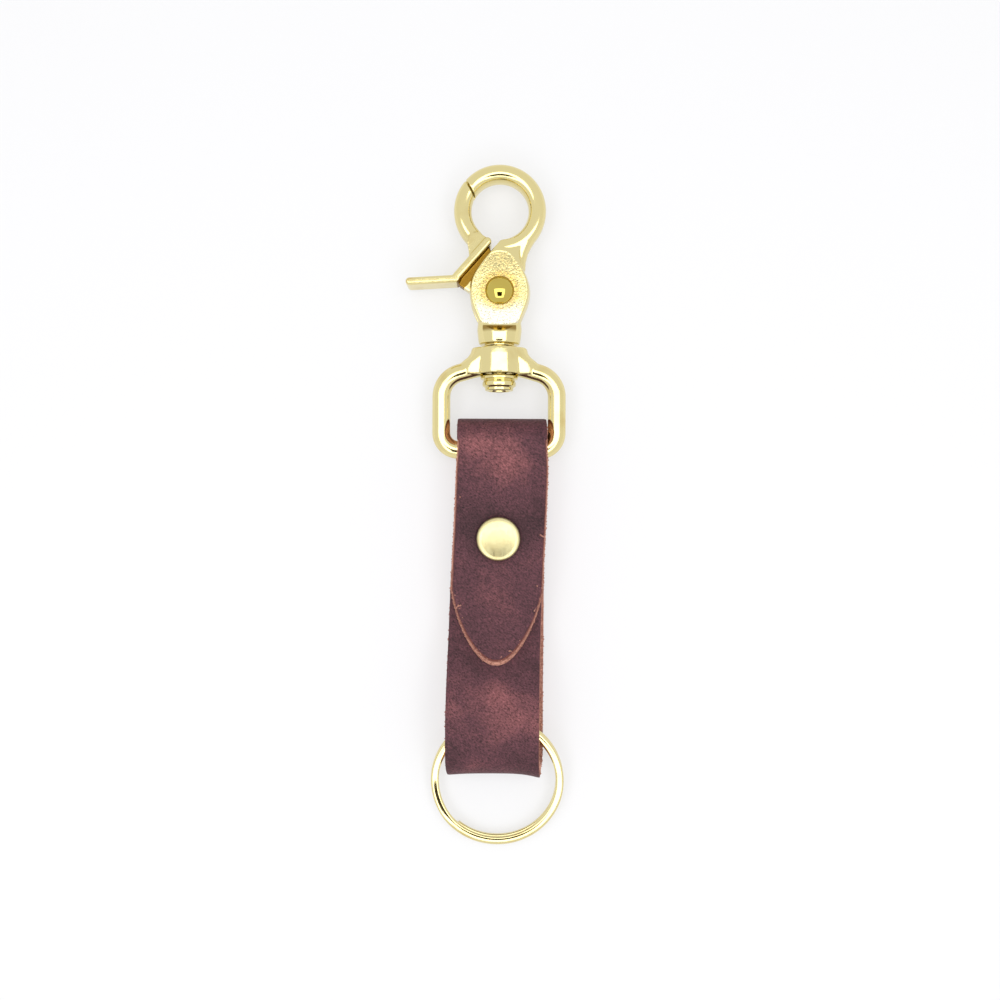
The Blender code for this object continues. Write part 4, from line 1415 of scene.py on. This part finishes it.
def hub_parts(eye):
    """The hub: an upright oval core, and the skirt that flares out from it into the frame."""
    core = ((0.0, 4.6, 4.3), (0.25, 4.8, 4.5), (1.5, 4.9, 4.55), (5.2, 5.0, 4.5), (5.5, 4.9, 4.3))
    skirt = (
        (0.0, 5.6, 3.1),
        (0.3, 5.85, 3.4),
        (1.2, 6.1, 3.5),
        (2.0, 6.7, 3.4),
        (2.7, 7.6, 3.2),
        (3.4, 8.4, 2.95),
        (4.4, 8.8, 2.85),
        (5.2, 8.8, 2.75),
        (5.5, 8.6, 2.6),
    )
    return hub_part(eye, "hub_core", core, 2.0), hub_part(eye, "hub_skirt", skirt, 2.3)


class FOB_OT_eye(bpy.types.Operator):
    """Make the swivel eye, with the pin that turns in its hub and the washer above it"""

    bl_idname = "fob.eye"
    bl_label = "Swivel Eye"

    def execute(self, context):
        eye = context.scene.key_fob.eye
        brass = context.scene.key_fob.brass
        metal = polished_brass("polished_cast_brass", brass.cast, brass.deep, brass.ripple)
        line = eye_line(eye)
        casting = to_object(bar_along(line, [eye.wire / 2] * len(line), closed=True), "eye_casting", BAR)
        top = eye.wire / 2 + eye.inner_height + eye.hub_height
        low = eye.inner_height - eye.wire
        bore = [(0, low), (1.9 * MM, low), (1.9 * MM, top + MM), (0, top + MM)]
        drill = to_object(lathe(bore, 48, "Y"), "bore", BAR)
        combine(casting, "UNION", *hub_parts(eye))
        combine(casting, "DIFFERENCE", drill)
        cast(casting, 0.13 * MM, 5)
        finish_piece(casting, "eye", ["swivel_eye"], "polished_brass", metal)
        self.make_pin(eye, metal)
        self.make_washer(eye, metal)
        return {"FINISHED"}

    def make_pin(self, eye, metal):
        head_top = eye.wire / 2 + eye.inner_height - 0.3 * MM
        low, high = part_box("swivel_pin")
        foot = low.y - BAR.y
        profile = [
            (0, high.y - BAR.y),
            (1.6 * MM, high.y - BAR.y),
            (1.6 * MM, head_top),
            (eye.pin_head - 0.3 * MM, head_top),
            (eye.pin_head, head_top - 0.25 * MM),
            (eye.pin_head, head_top - 0.75 * MM),
            (eye.pin_head - 0.7 * MM, head_top - 0.95 * MM),
            (eye.pin_head - 0.4 * MM, head_top - 1.5 * MM),
            (eye.pin_head - 0.45 * MM, head_top - 2.2 * MM),
            (eye.pin_head - 1.0 * MM, head_top - 2.55 * MM),
            (eye.pin_head - 1.0 * MM, foot + 0.15 * MM),
            (eye.pin_head - 1.2 * MM, foot),
            (2.2 * MM, foot),
            (2.0 * MM, foot + 0.5 * MM),
            (0, foot + 0.6 * MM),
        ]
        pin = to_object(lathe(rounded(profile, 0.18 * MM), 96, "Y"), "headed_pin", BAR)
        smooth_with_corners(pin)
        finish_piece(pin, "snap", ["swivel_pin"], "polished_brass", metal)

    def make_washer(self, eye, metal):
        low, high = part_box("swivel_washer")
        y0, y1 = low.y - BAR.y, high.y - BAR.y
        inner, outer = 1.9 * MM, eye.washer
        edge = 0.12 * MM
        section = [
            (inner, y0),
            (outer - edge, y0),
            (outer, y0 + edge),
            (outer, y1 - edge),
            (outer - edge, y1),
            (inner, y1),
        ]
        rings = []
        for i in range(96):
            a = 2 * math.pi * i / 96
            rings.append([Vector((r * math.cos(a), y, r * math.sin(a))) for r, y in section])
        washer = to_object(swept(rings, closed=True), "turned_washer", BAR)
        smooth_with_corners(washer)
        finish_piece(washer, "snap", ["swivel_washer"], "polished_brass", metal)


# Snap


def cheek_outline(snap):
    """The cheeks seen from the front: a vase that runs up into the root of the hook."""
    half = snap.cheek_width / 2 / MM
    left = [
        (0.0, 11.0),
        (-0.4, 10.4),
        (-1.7, 9.0),
        (-4.5, 5.5),
        (-0.93 * half, 3.0),
        (-half, 0.3),
        (-0.95 * half, -2.6),
        (-0.78 * half, -5.4),
        (-4.1, -7.4),
    ]
    right = [
        (4.1, -7.4),
        (0.78 * half, -5.0),
        (0.95 * half, -2.3),
        (half, 0.1),
        (0.93 * half, 2.6),
        (4.7, 5.5),
        (4.2, 8.2),
        (4.6, 9.6),
        (3.3, 11.7),
        (1.6, 11.2),
    ]
    return in_mm(left + right)


def drafted_cheeks(snap):
    """The block of the two cheeks, whose sides slope in towards both faces as they left the mould."""
    half = snap.cheek_depth / 2
    smooth = softened(cheek_outline(snap), 3)
    upper = ((0.3, 0.08), (0.8, 0.36), (0.93, 0.5), (1.0, 0.75))
    levels = [(-level, drawn_in) for level, drawn_in in reversed(upper)] + list(upper)
    rings = []
    for level, drawn_in in levels:
        outline = inset(smooth, drawn_in * MM)
        rings.append([Vector((x, y, level * half)) for x, y in outline])
    return swept(rings)


def slot_outline():
    """The slot between the cheeks, open towards the gate."""
    return in_mm(
        [
            (-12.0, -6.2),
            (-2.2, -6.2),
            (1.6, -4.2),
            (3.5, -2.2),
            (4.0, 0.0),
            (3.5, 2.2),
            (2.1, 4.6),
            (-0.9, 10.9),
            (-12.0, 14.0),
        ]
    )


def thinning_cutters(name, start, start_half, end, end_half):
    """Two wedges that thin a piece from one depth to another between two heights, front and back."""
    cutters = []
    for way, side in ((1, "front"), (-1, "back")):
        far = end + 6 * MM
        shares = [i / 24 for i in range(25)]
        slope = [
            (start + (end - start) * t, way * (start_half + (end_half - start_half) * float(smooth_step(t))))
            for t in shares
        ]
        outline = slope + [(far, way * end_half), (far, way * 8 * MM), (start, way * 8 * MM)]
        cutters.append(to_object(plate(outline, -10 * MM, 10 * MM, "X"), f"{name}_{side}", PIVOT))
    return cutters


def nose_cutters(snap, keeps_hook):
    """Two blocks that cut the slanted lap joint where the gate's tip rests on the hook's nose."""
    gap = 0.05 * MM if keeps_hook else -0.05 * MM
    return nose_cutter(snap, keeps_hook, 0.0, -gap, 4 * MM), nose_cutter(snap, keeps_hook, 4.5, -4 * MM, -gap)


def nose_cutter(snap, keeps_hook, lap, low, high):
    """One block of the lap joint between two heights, turned lap degrees further round the hook."""
    centre = Vector((0, snap.hook_rise))
    ends = []
    outside, inside = snap.hook_radius + snap.hook_wire / 2, snap.hook_radius - snap.hook_wire / 2
    for degrees, radius in ((139.5, outside), (152.5, inside)):
        a = math.radians(degrees + lap)
        ends.append(centre + radius * Vector((math.cos(a), math.sin(a))))
    outer, inner = ends
    along = (inner - outer).normalized()
    side = Vector((along.y, -along.x)) * (1 if keeps_hook else -1)
    start = outer - along * 6 * MM - side * 0.16 * MM
    end = inner + along * 2 * MM - side * 0.16 * MM
    outline = [tuple(c) for c in (start, end, end + side * 14 * MM, start + side * 14 * MM)]
    return to_object(plate(outline, low, high), "nose_joint", PIVOT)


def barrel(snap):
    """The round barrel below the cheeks, cut by a slope that leads up to it from the field."""
    foot = -10.9 * MM
    profile = [
        (0, -6.2 * MM),
        (snap.barrel + 0.15 * MM, -6.2 * MM),
        (snap.barrel + 0.3 * MM, -7.8 * MM),
        (snap.barrel + 0.1 * MM, -9.6 * MM),
        (snap.barrel - 0.1 * MM, foot),
        (0, foot),
    ]
    made = to_object(lathe(rounded(profile, 0.4 * MM), 96, "Y"), "barrel", PIVOT)
    half = snap.cheek_depth / 2
    cutters = []
    for way, side in ((1, "front"), (-1, "back")):
        outline = [
            (-7.3 * MM, way * (half - 0.05 * MM)),
            (-8.8 * MM, way * (snap.barrel + 0.35 * MM)),
            (-8.8 * MM, way * 7 * MM),
            (-5.0 * MM, way * 7 * MM),
            (-5.0 * MM, way * (half - 0.05 * MM)),
        ]
        cutters.append(to_object(plate(outline, -10 * MM, 10 * MM, "X"), f"slope_{side}", PIVOT))
    combine(made, "DIFFERENCE", *cutters)
    return made


def cylinder_at_pivot(name, radius, low, high):
    """A cylinder on the gate's axis, to add or to cut."""
    profile = [(0, low), (radius, low), (radius, high), (0, high)]
    return to_object(lathe(profile, 64), name, PIVOT)


def field_outline():
    """The sunk field of a cheek: a shield with a straight foot."""
    return in_mm(
        [
            (0.0, 8.6),
            (-1.9, 8.1),
            (-3.3, 6.3),
            (-5.2, 3.3),
            (-5.9, 0.3),
            (-5.5, -2.4),
            (-4.2, -5.4),
            (-3.7, -7.2),
            (3.9, -7.2),
            (4.3, -5.4),
            (5.4, -2.1),
            (5.7, 0.6),
            (5.0, 3.5),
            (3.5, 6.3),
            (1.9, 8.1),
        ]
    )


def sink_field(obj, snap):
    """Lowers the field inside the cheeks' border, and marks it, the rough ring round the rivet, the painted
    dark reflection on the slope above the barrel and the painted highlight at the field's foot.
    """
    co = points_of(obj)
    local = co - np.array(PIVOT)
    x, y = local[:, 0], local[:, 1]
    faces_out = smooth_step((np.abs(local[:, 2]) - snap.slot / 2 - 0.5 * MM) / (0.3 * MM))
    inside = depth_inside(local[:, :2], softened(field_outline(), 1))
    sand = smooth_step(inside / (0.3 * MM)) * faces_out
    from_pivot = np.hypot(x, y)
    halo = (1 - smooth_step((from_pivot - 3.7 * MM) / (0.9 * MM))) * sand
    rng = np.random.default_rng(7)
    rough = rng.normal(0, 0.014 * MM, len(co)) * sand * (1 + 1.2 * halo)
    co[:, 2] -= np.sign(local[:, 2]) * (snap.field * sand + rough)
    set_points(obj, co)
    # Painted dark reflection on the slope that leads up to the barrel, kept as the 'shade' mark
    slope = smooth_step((-7.2 * MM - y) / (0.12 * MM)) * smooth_step((y + 8.8 * MM) / (0.9 * MM))
    raised = smooth_step((np.abs(local[:, 2]) - 3.0 * MM) / (0.2 * MM))
    add_values(obj, "shade", 0.85 * slope * raised * (np.abs(x) < 3.6 * MM))
    add_values(obj, "sand", sand)
    add_values(obj, "halo", halo)
    # Painted highlight: the field gets paler towards its foot
    add_values(obj, "painted_light_and_wear", sand * smooth_step((-y - 1.0 * MM) / (4.0 * MM)))


def gate_tang():
    """The plate that reaches from the gate into the slot and round the pivot."""
    turn = [math.radians(a) for a in range(-130, 61, 10)]
    hub = [(3.3 * math.cos(a), 3.3 * math.sin(a)) for a in turn]
    return in_mm(hub + [(-2.4, 9.6), (-8.8, 2.9), (-8.4, 1.4), (-6.6, 0.2)])


def painted_shade_beside_ridge(gate):
    """1 for the faces of the plate beside the ridge, which get a painted shade for the slot between the ridge
    and the cheeks.
    """
    centres = np.empty(len(gate.data.polygons) * 3, np.float32)
    gate.data.polygons.foreach_get("center", centres)
    local = centres.reshape(-1, 3) - np.array(PIVOT)
    foot, top = np.array([-9.0, 3.0]) * MM, np.array([-2.6, 10.3]) * MM
    along = (top - foot) / np.linalg.norm(top - foot)
    away = (local[:, 0] - foot[0]) * along[1] - (local[:, 1] - foot[1]) * along[0]
    return ((away > 0.85 * MM) & (away < 2.7 * MM) & (local[:, 1] > 0.8 * MM)).astype(np.int32)


def beam(start, end, thickness, half_depth, name):
    """A straight rib in the XY plane with rounded ends."""
    start, end = Vector(start) * MM, Vector(end) * MM
    along = (end - start).normalized()
    angle = math.atan2(along.y, along.x)
    outline = []
    for centre, first in ((end, -90), (start, 90)):
        for i in range(9):
            a = angle + math.radians(first + 180 * i / 8)
            outline.append((centre.x + thickness / 2 * math.cos(a), centre.y + thickness / 2 * math.sin(a)))
    rings = []
    for level, drawn_in in ((-1, 0.35), (-0.93, 0.1), (-0.8, 0.0), (0.8, 0.0), (0.93, 0.1), (1, 0.35)):
        ring = inset(outline, drawn_in * MM)
        rings.append([Vector((x, y, level * half_depth)) for x, y in ring])
    return to_object(swept(rings), name, PIVOT)


class FOB_OT_hook(bpy.types.Operator):
    """Make the snap's body: the hook, the cheeks with their sand-cast field, and the barrel"""

    bl_idname = "fob.hook"
    bl_label = "Hook Body"

    def execute(self, context):
        snap = context.scene.key_fob.snap
        brass = context.scene.key_fob.brass
        body = to_object(drafted_cheeks(snap), "hook_casting", PIVOT)
        radius = snap.hook_wire / 2
        half = snap.cheek_depth / 2 + 0.01 * MM
        combine(body, "DIFFERENCE", *thinning_cutters("cheek", 2.6 * MM, half, 12.4 * MM, radius))
        hook_line = arc_line((0, snap.hook_rise), snap.hook_radius, -84, 160, 64)
        hook = to_object(bar_along(hook_line, [radius] * len(hook_line), deep=1.25), "hook_bar", PIVOT)
        tail_places = ((6.9, 13.5), (6.0, 12.1), (5.0, 10.4), (4.3, 8.6), (3.9, 6.6), (3.9, 4.6))
        tail_line = [Vector((x, y, 0)) * MM for x, y in tail_places]
        tail_radii = [radius * share for share in (0.96, 0.98, 0.96, 0.9, 0.86, 0.8)]
        tail = to_object(bar_along(tail_line, tail_radii, deep=1.2), "tail", PIVOT)
        combine(body, "UNION", hook, tail, barrel(snap))
        slot = to_object(plate(slot_outline(), -snap.slot / 2, snap.slot / 2), "slot", PIVOT)
        socket_profile = [(0, -12 * MM), (1.9 * MM, -12 * MM), (1.9 * MM, -7.4 * MM), (0, -7.4 * MM)]
        socket = to_object(lathe(socket_profile, 48, "Y"), "socket", PIVOT)
        bore = cylinder_at_pivot("bore", 1.7 * MM, -6 * MM, 6 * MM)
        combine(body, "DIFFERENCE", slot, bore, socket, *nose_cutters(snap, True))
        cast(body, 0.135 * MM, 5)
        sink_field(body, snap)
        finish_piece(body, "snap", ["hook_body"], "polished_brass", sand_cast_brass("sand_cast_brass", brass))
        self.make_rivet(snap, brass)
        return {"FINISHED"}

    def make_rivet(self, snap, brass):
        seat = snap.cheek_depth / 2 - snap.field + 0.05 * MM
        top = snap.cheek_depth / 2 + 0.3 * MM + snap.dome_height
        height = top - seat
        ball = (snap.dome**2 + height**2) / (2 * height)
        reach = math.asin(snap.dome / ball)
        upper = []
        for i in range(17):
            a = reach * i / 16
            upper.append((ball * math.sin(a), top - ball * (1 - math.cos(a))))
        upper += [(1.4 * MM, seat)]
        lower = [(r, -h) for r, h in reversed(upper)]
        rivet = to_object(lathe(upper + lower, 128), "pivot_domes", PIVOT)
        smooth_with_corners(rivet)
        mirror = polished_brass("mirror_brass", brass.dome, brass.deep, 4.0 * MM, 0.035)
        finish_piece(rivet, "snap", ["pivot_rivet"], "polished_brass", mirror)


class FOB_OT_gate(bpy.types.Operator):
    """Make the gate with its thumb lever, and the spring that closes it"""

    bl_idname = "fob.gate"
    bl_label = "Gate and Spring"

    def execute(self, context):
        snap = context.scene.key_fob.snap
        brass = context.scene.key_fob.brass
        radius = snap.hook_wire / 2
        arm_line = arc_line((0, snap.hook_rise), snap.hook_radius, 128, 228, 40)
        arm_line += [Vector(p) * MM for p in ((-4.9, 10.4, 0), (-4.6, 9.4, 0))]
        arm_radii = [radius] * 41 + [radius * 0.97, radius * 0.9]
        gate = to_object(bar_along(arm_line, arm_radii, deep=1.15), "gate_casting", PIVOT)
        web_outline = in_mm(
            [
                (-2.1, 10.6),
                (-2.3, 10.9),
                (-3.4, 11.6),
                (-5.2, 12.6),
                (-7.0, 11.0),
                (-6.5, 8.6),
                (-6.4, 7.0),
                (-7.0, 5.4),
                (-8.2, 4.1),
                (-10.2, 3.3),
                (-10.0, 2.4),
            ]
        )
        web = to_object(plate(softened(web_outline, 1), -2.3 * MM, 2.3 * MM), "web", PIVOT)
        ridge = beam((-2.6, 10.3), (-9.0, 3.0), 1.7 * MM, 3.1 * MM, "ridge")
        lever = beam((-9.0, 2.5), (0.8 - snap.lever_reach / MM, 1.9), 1.6 * MM, 3.1 * MM, "lever")
        tang = to_object(plate(gate_tang(), -1.3 * MM, 1.3 * MM), "tang", PIVOT)
        combine(gate, "UNION", web, ridge, lever, tang)
        pocket = cylinder_at_pivot("pocket", 4.3 * MM, -2.6 * MM, -0.05 * MM)
        bore = cylinder_at_pivot("bore", 1.7 * MM, -6 * MM, 6 * MM)
        combine(gate, "DIFFERENCE", pocket, bore, *nose_cutters(snap, False))
        cast(gate, 0.125 * MM, 5)
        metal = polished_brass("buffed_brass", brass.cast, brass.deep, brass.ripple)
        # Painted shade: the plate beside the ridge gets the shaded brown, for the shade in the slot
        hollow = polished_brass("shaded_brass", brass.shaded, brass.deep, brass.ripple, 0.35)
        finish_piece(gate, "gate", ["gate_lever"], "polished_brass", metal, hollow)
        gate.data.polygons.foreach_set("material_index", painted_shade_beside_ridge(gate))
        self.make_spring(snap, brass)
        return {"FINISHED"}

    def make_spring(self, snap, brass):
        steel = drawn_steel("drawn_spring_steel", brass.steel)
        spring = bpy.data.objects.new("coiled_spring", bpy.data.meshes.new("coiled_spring"))
        bpy.context.scene.collection.objects.link(spring)
        low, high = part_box("gate_spring")
        rise = high.z - low.z - snap.spring_wire
        run_tree(
            spring,
            spring_tree(steel),
            {
                "Radius": snap.spring_radius,
                "Wire": snap.spring_wire / 2,
                "Turns": snap.spring_turns,
                "Rise": rise,
                "Place": (PIVOT.x, PIVOT.y, low.z + snap.spring_wire / 2),
            },
        )
        spring.data.shade_smooth()
        finish_piece(spring, "gate", ["gate_spring"], "spring_steel")


def spring_tree(material):
    """Geometry Nodes that wind a round wire into a coil."""
    tree = bpy.data.node_groups.new("coil", "GeometryNodeTree")
    tree.interface.new_socket("Geometry", in_out="OUTPUT", socket_type="NodeSocketGeometry")
    for name in ("Radius", "Wire", "Turns", "Rise"):
        tree.interface.new_socket(name, in_out="INPUT", socket_type="NodeSocketFloat")
    tree.interface.new_socket("Place", in_out="INPUT", socket_type="NodeSocketVector")
    given = add_node(tree, "NodeGroupInput").outputs
    spiral = add_node(
        tree,
        "GeometryNodeCurveSpiral",
        None,
        {
            "Resolution": 40,
            "Rotations": given["Turns"],
            "Start Radius": given["Radius"],
            "End Radius": given["Radius"],
            "Height": given["Rise"],
        },
    )
    outline = add_node(
        tree, "GeometryNodeCurvePrimitiveCircle", None, {"Resolution": 12, "Radius": given["Wire"]}
    )
    wire = add_node(
        tree,
        "GeometryNodeCurveToMesh",
        None,
        {"Curve": spiral.outputs["Curve"], "Profile Curve": outline.outputs["Curve"], "Fill Caps": True},
    )
    moved = add_node(
        tree, "GeometryNodeTransform", None, {"Geometry": wire.outputs["Mesh"], "Translation": given["Place"]}
    )
    real = add_node(tree, "GeometryNodeRealizeInstances", None, {"Geometry": moved.outputs["Geometry"]})
    dressed = add_node(
        tree, "GeometryNodeSetMaterial", None, {"Geometry": real.outputs["Geometry"], "Material": material}
    )
    add_node(tree, "NodeGroupOutput", None, {"Geometry": dressed.outputs["Geometry"]})
    return tree


# Split ring


def ring_height(turn, ring):
    """Height of the wire's middle after a share of turns: the lower coil, the jog, then the upper coil."""
    jog = 0.07
    return (ring.coil + ring.gap) * (float(smooth_step((turn - 1 + jog) / (2 * jog))) - 0.5)


def flat_wire(ring, out, up, size=1.0):
    """Section of the wire: flattened by the rolls, with full round shoulders."""
    points = []
    for i in range(28):
        a = 2 * math.pi * i / 28
        c, s = math.cos(a), math.sin(a)
        bulge = (abs(c) ** 2.7 + abs(s) ** 2.7) ** (-1 / 2.7)
        points.append(out * (ring.band / 2 * size * bulge * c) + up * (ring.coil / 2 * size * bulge * s))
    return points


class FOB_OT_ring(bpy.types.Operator):
    """Make the split key ring"""

    bl_idname = "fob.ring"
    bl_label = "Split Ring"

    def execute(self, context):
        ring = context.scene.key_fob.ring
        brass = context.scene.key_fob.brass
        start, end = 0.082, 1.918
        steps = 340
        up = Vector((0, 0, 1))
        shares = [0.0, 0.0004] + [i / steps for i in range(1, steps)] + [0.9996, 1.0]
        sizes = [0.8] + [1.0] * (len(shares) - 2) + [0.8]
        rings = []
        for share, size in zip(shares, sizes):
            turn = start + (end - start) * share
            a = math.radians(200) + 2 * math.pi * turn
            out = Vector((math.cos(a), math.sin(a), 0))
            middle = out * ring.radius + up * ring_height(turn, ring)
            middle.y -= ring.axis_to_centre
            rings.append([middle + corner for corner in flat_wire(ring, out, up, size)])
        bm = swept(rings)
        bm.transform(Matrix.Rotation(ring.tilt, 4, "X"))
        obj = to_object(bm, "split_ring", RING_AXIS)
        smooth_with_corners(obj, 50)
        plating = polished_brass("plated_ring_brass", brass.ring, brass.deep, 3.0 * MM, 0.1)
        finish_piece(obj, "ring", ["key_ring"], "ring_brass", plating)
        return {"FINISHED"}


# Stage


class FOB_OT_stage(bpy.types.Operator):
    """Make the pale table, the light tent with its lamp panel, and the camera that looks straight down"""

    bl_idname = "fob.stage"
    bl_label = "Table, Lights and Camera"

    def execute(self, context):
        stage = context.scene.key_fob.stage
        scene = context.scene
        scene.view_settings.view_transform = "Standard"
        self.make_table(stage)
        self.make_lamps(stage)
        world = bpy.data.worlds.new("light_tent")
        world.use_nodes = True
        background = world.node_tree.nodes["Background"]
        background.inputs["Color"].default_value = rgba(linear("#FFFFFF"))
        background.inputs["Strength"].default_value = stage.tent
        scene.world = world
        camera = bpy.data.objects.new("camera", bpy.data.cameras.new("camera"))
        camera.data.lens = stage.lens
        camera.data.sensor_width = 36.0
        camera.data.clip_start = 0.01
        camera.location = (BAR.x + 0.3 * MM, BAR.y - 10.5 * MM, stage.camera_height)
        camera.rotation_euler = (0.0, 0.0, stage.roll)
        scene.collection.objects.link(camera)
        scene.camera = camera
        return {"FINISHED"}

    def make_table(self, stage):
        half = 3.0
        bm = bmesh.new()
        bmesh.ops.create_grid(bm, x_segments=1, y_segments=1, size=half)
        table = to_object(bm, "table", (0.0, 0.0, 0.0))
        table.data.materials.append(frosted_sheet("frosted_sheet", stage.table, stage.glow))
        bm = bmesh.new()
        bmesh.ops.create_grid(bm, x_segments=1, y_segments=1, size=stage.lamp_inner)
        opening = to_object(bm, "lamp_opening", (BAR.x, BAR.y - stage.lamp_back, stage.lamp_height))
        opening.data.materials.append(dark_cloth("dark_cloth"))

    def make_lamps(self, stage):
        """Four strips round the square opening."""
        wide = stage.lamp_outer - stage.lamp_inner
        middle = (stage.lamp_outer + stage.lamp_inner) / 2
        strips = (
            ("left_lamp", -middle, 0.0, wide, 2 * stage.lamp_outer),
            ("right_lamp", middle, 0.0, wide, 2 * stage.lamp_outer),
            ("top_lamp", 0.0, middle, 2 * stage.lamp_inner, wide),
            ("bottom_lamp", 0.0, -middle, 2 * stage.lamp_inner, wide),
        )
        for name, x, y, size_x, size_y in strips:
            light = bpy.data.lights.new(name, "AREA")
            light.shape = "RECTANGLE"
            light.size = size_x
            light.size_y = size_y
            light.energy = math.pi * size_x * size_y * stage.lamp_radiance
            lamp = bpy.data.objects.new(name, light)
            lamp.location = (BAR.x + x, BAR.y - stage.lamp_back + y, stage.lamp_height)
            bpy.context.scene.collection.objects.link(lamp)


# Add-on


OPERATORS = (FOB_OT_strap, FOB_OT_rivet, FOB_OT_eye, FOB_OT_hook, FOB_OT_gate, FOB_OT_ring, FOB_OT_stage)


class FOB_PT_panel(bpy.types.Panel):
    """Buttons that make the pieces of the key fob, and the settings of each"""

    bl_label = "Key Fob"
    bl_idname = "FOB_PT_panel"
    bl_space_type = "VIEW_3D"
    bl_region_type = "UI"
    bl_category = "Key Fob"

    def draw(self, context):
        settings = context.scene.key_fob
        for operator in OPERATORS:
            self.layout.operator(operator.bl_idname)
        for name in settings.bl_rna.properties.keys():
            group = getattr(settings, name)
            if not isinstance(group, bpy.types.PropertyGroup):
                continue
            box = self.layout.box()
            box.label(text=name.capitalize())
            for item in group.bl_rna.properties.keys():
                if item not in ("rna_type", "name"):
                    box.prop(group, item)


CLASSES = (
    StrapSettings,
    BrassSettings,
    RivetSettings,
    EyeSettings,
    SnapSettings,
    RingSettings,
    StageSettings,
    KeyFobSettings,
    *OPERATORS,
    FOB_PT_panel,
)


def register():
    for cls in CLASSES:
        bpy.utils.register_class(cls)
    bpy.types.Scene.key_fob = PointerProperty(type=KeyFobSettings)


def unregister():
    del bpy.types.Scene.key_fob
    for cls in reversed(CLASSES):
        bpy.utils.unregister_class(cls)


def main():
    register()
    bpy.ops.fob.strap()
    bpy.ops.fob.rivet()
    bpy.ops.fob.eye()
    bpy.ops.fob.hook()
    bpy.ops.fob.gate()
    bpy.ops.fob.ring()
    bpy.ops.fob.stage()


if __name__ == "__main__":
    main()
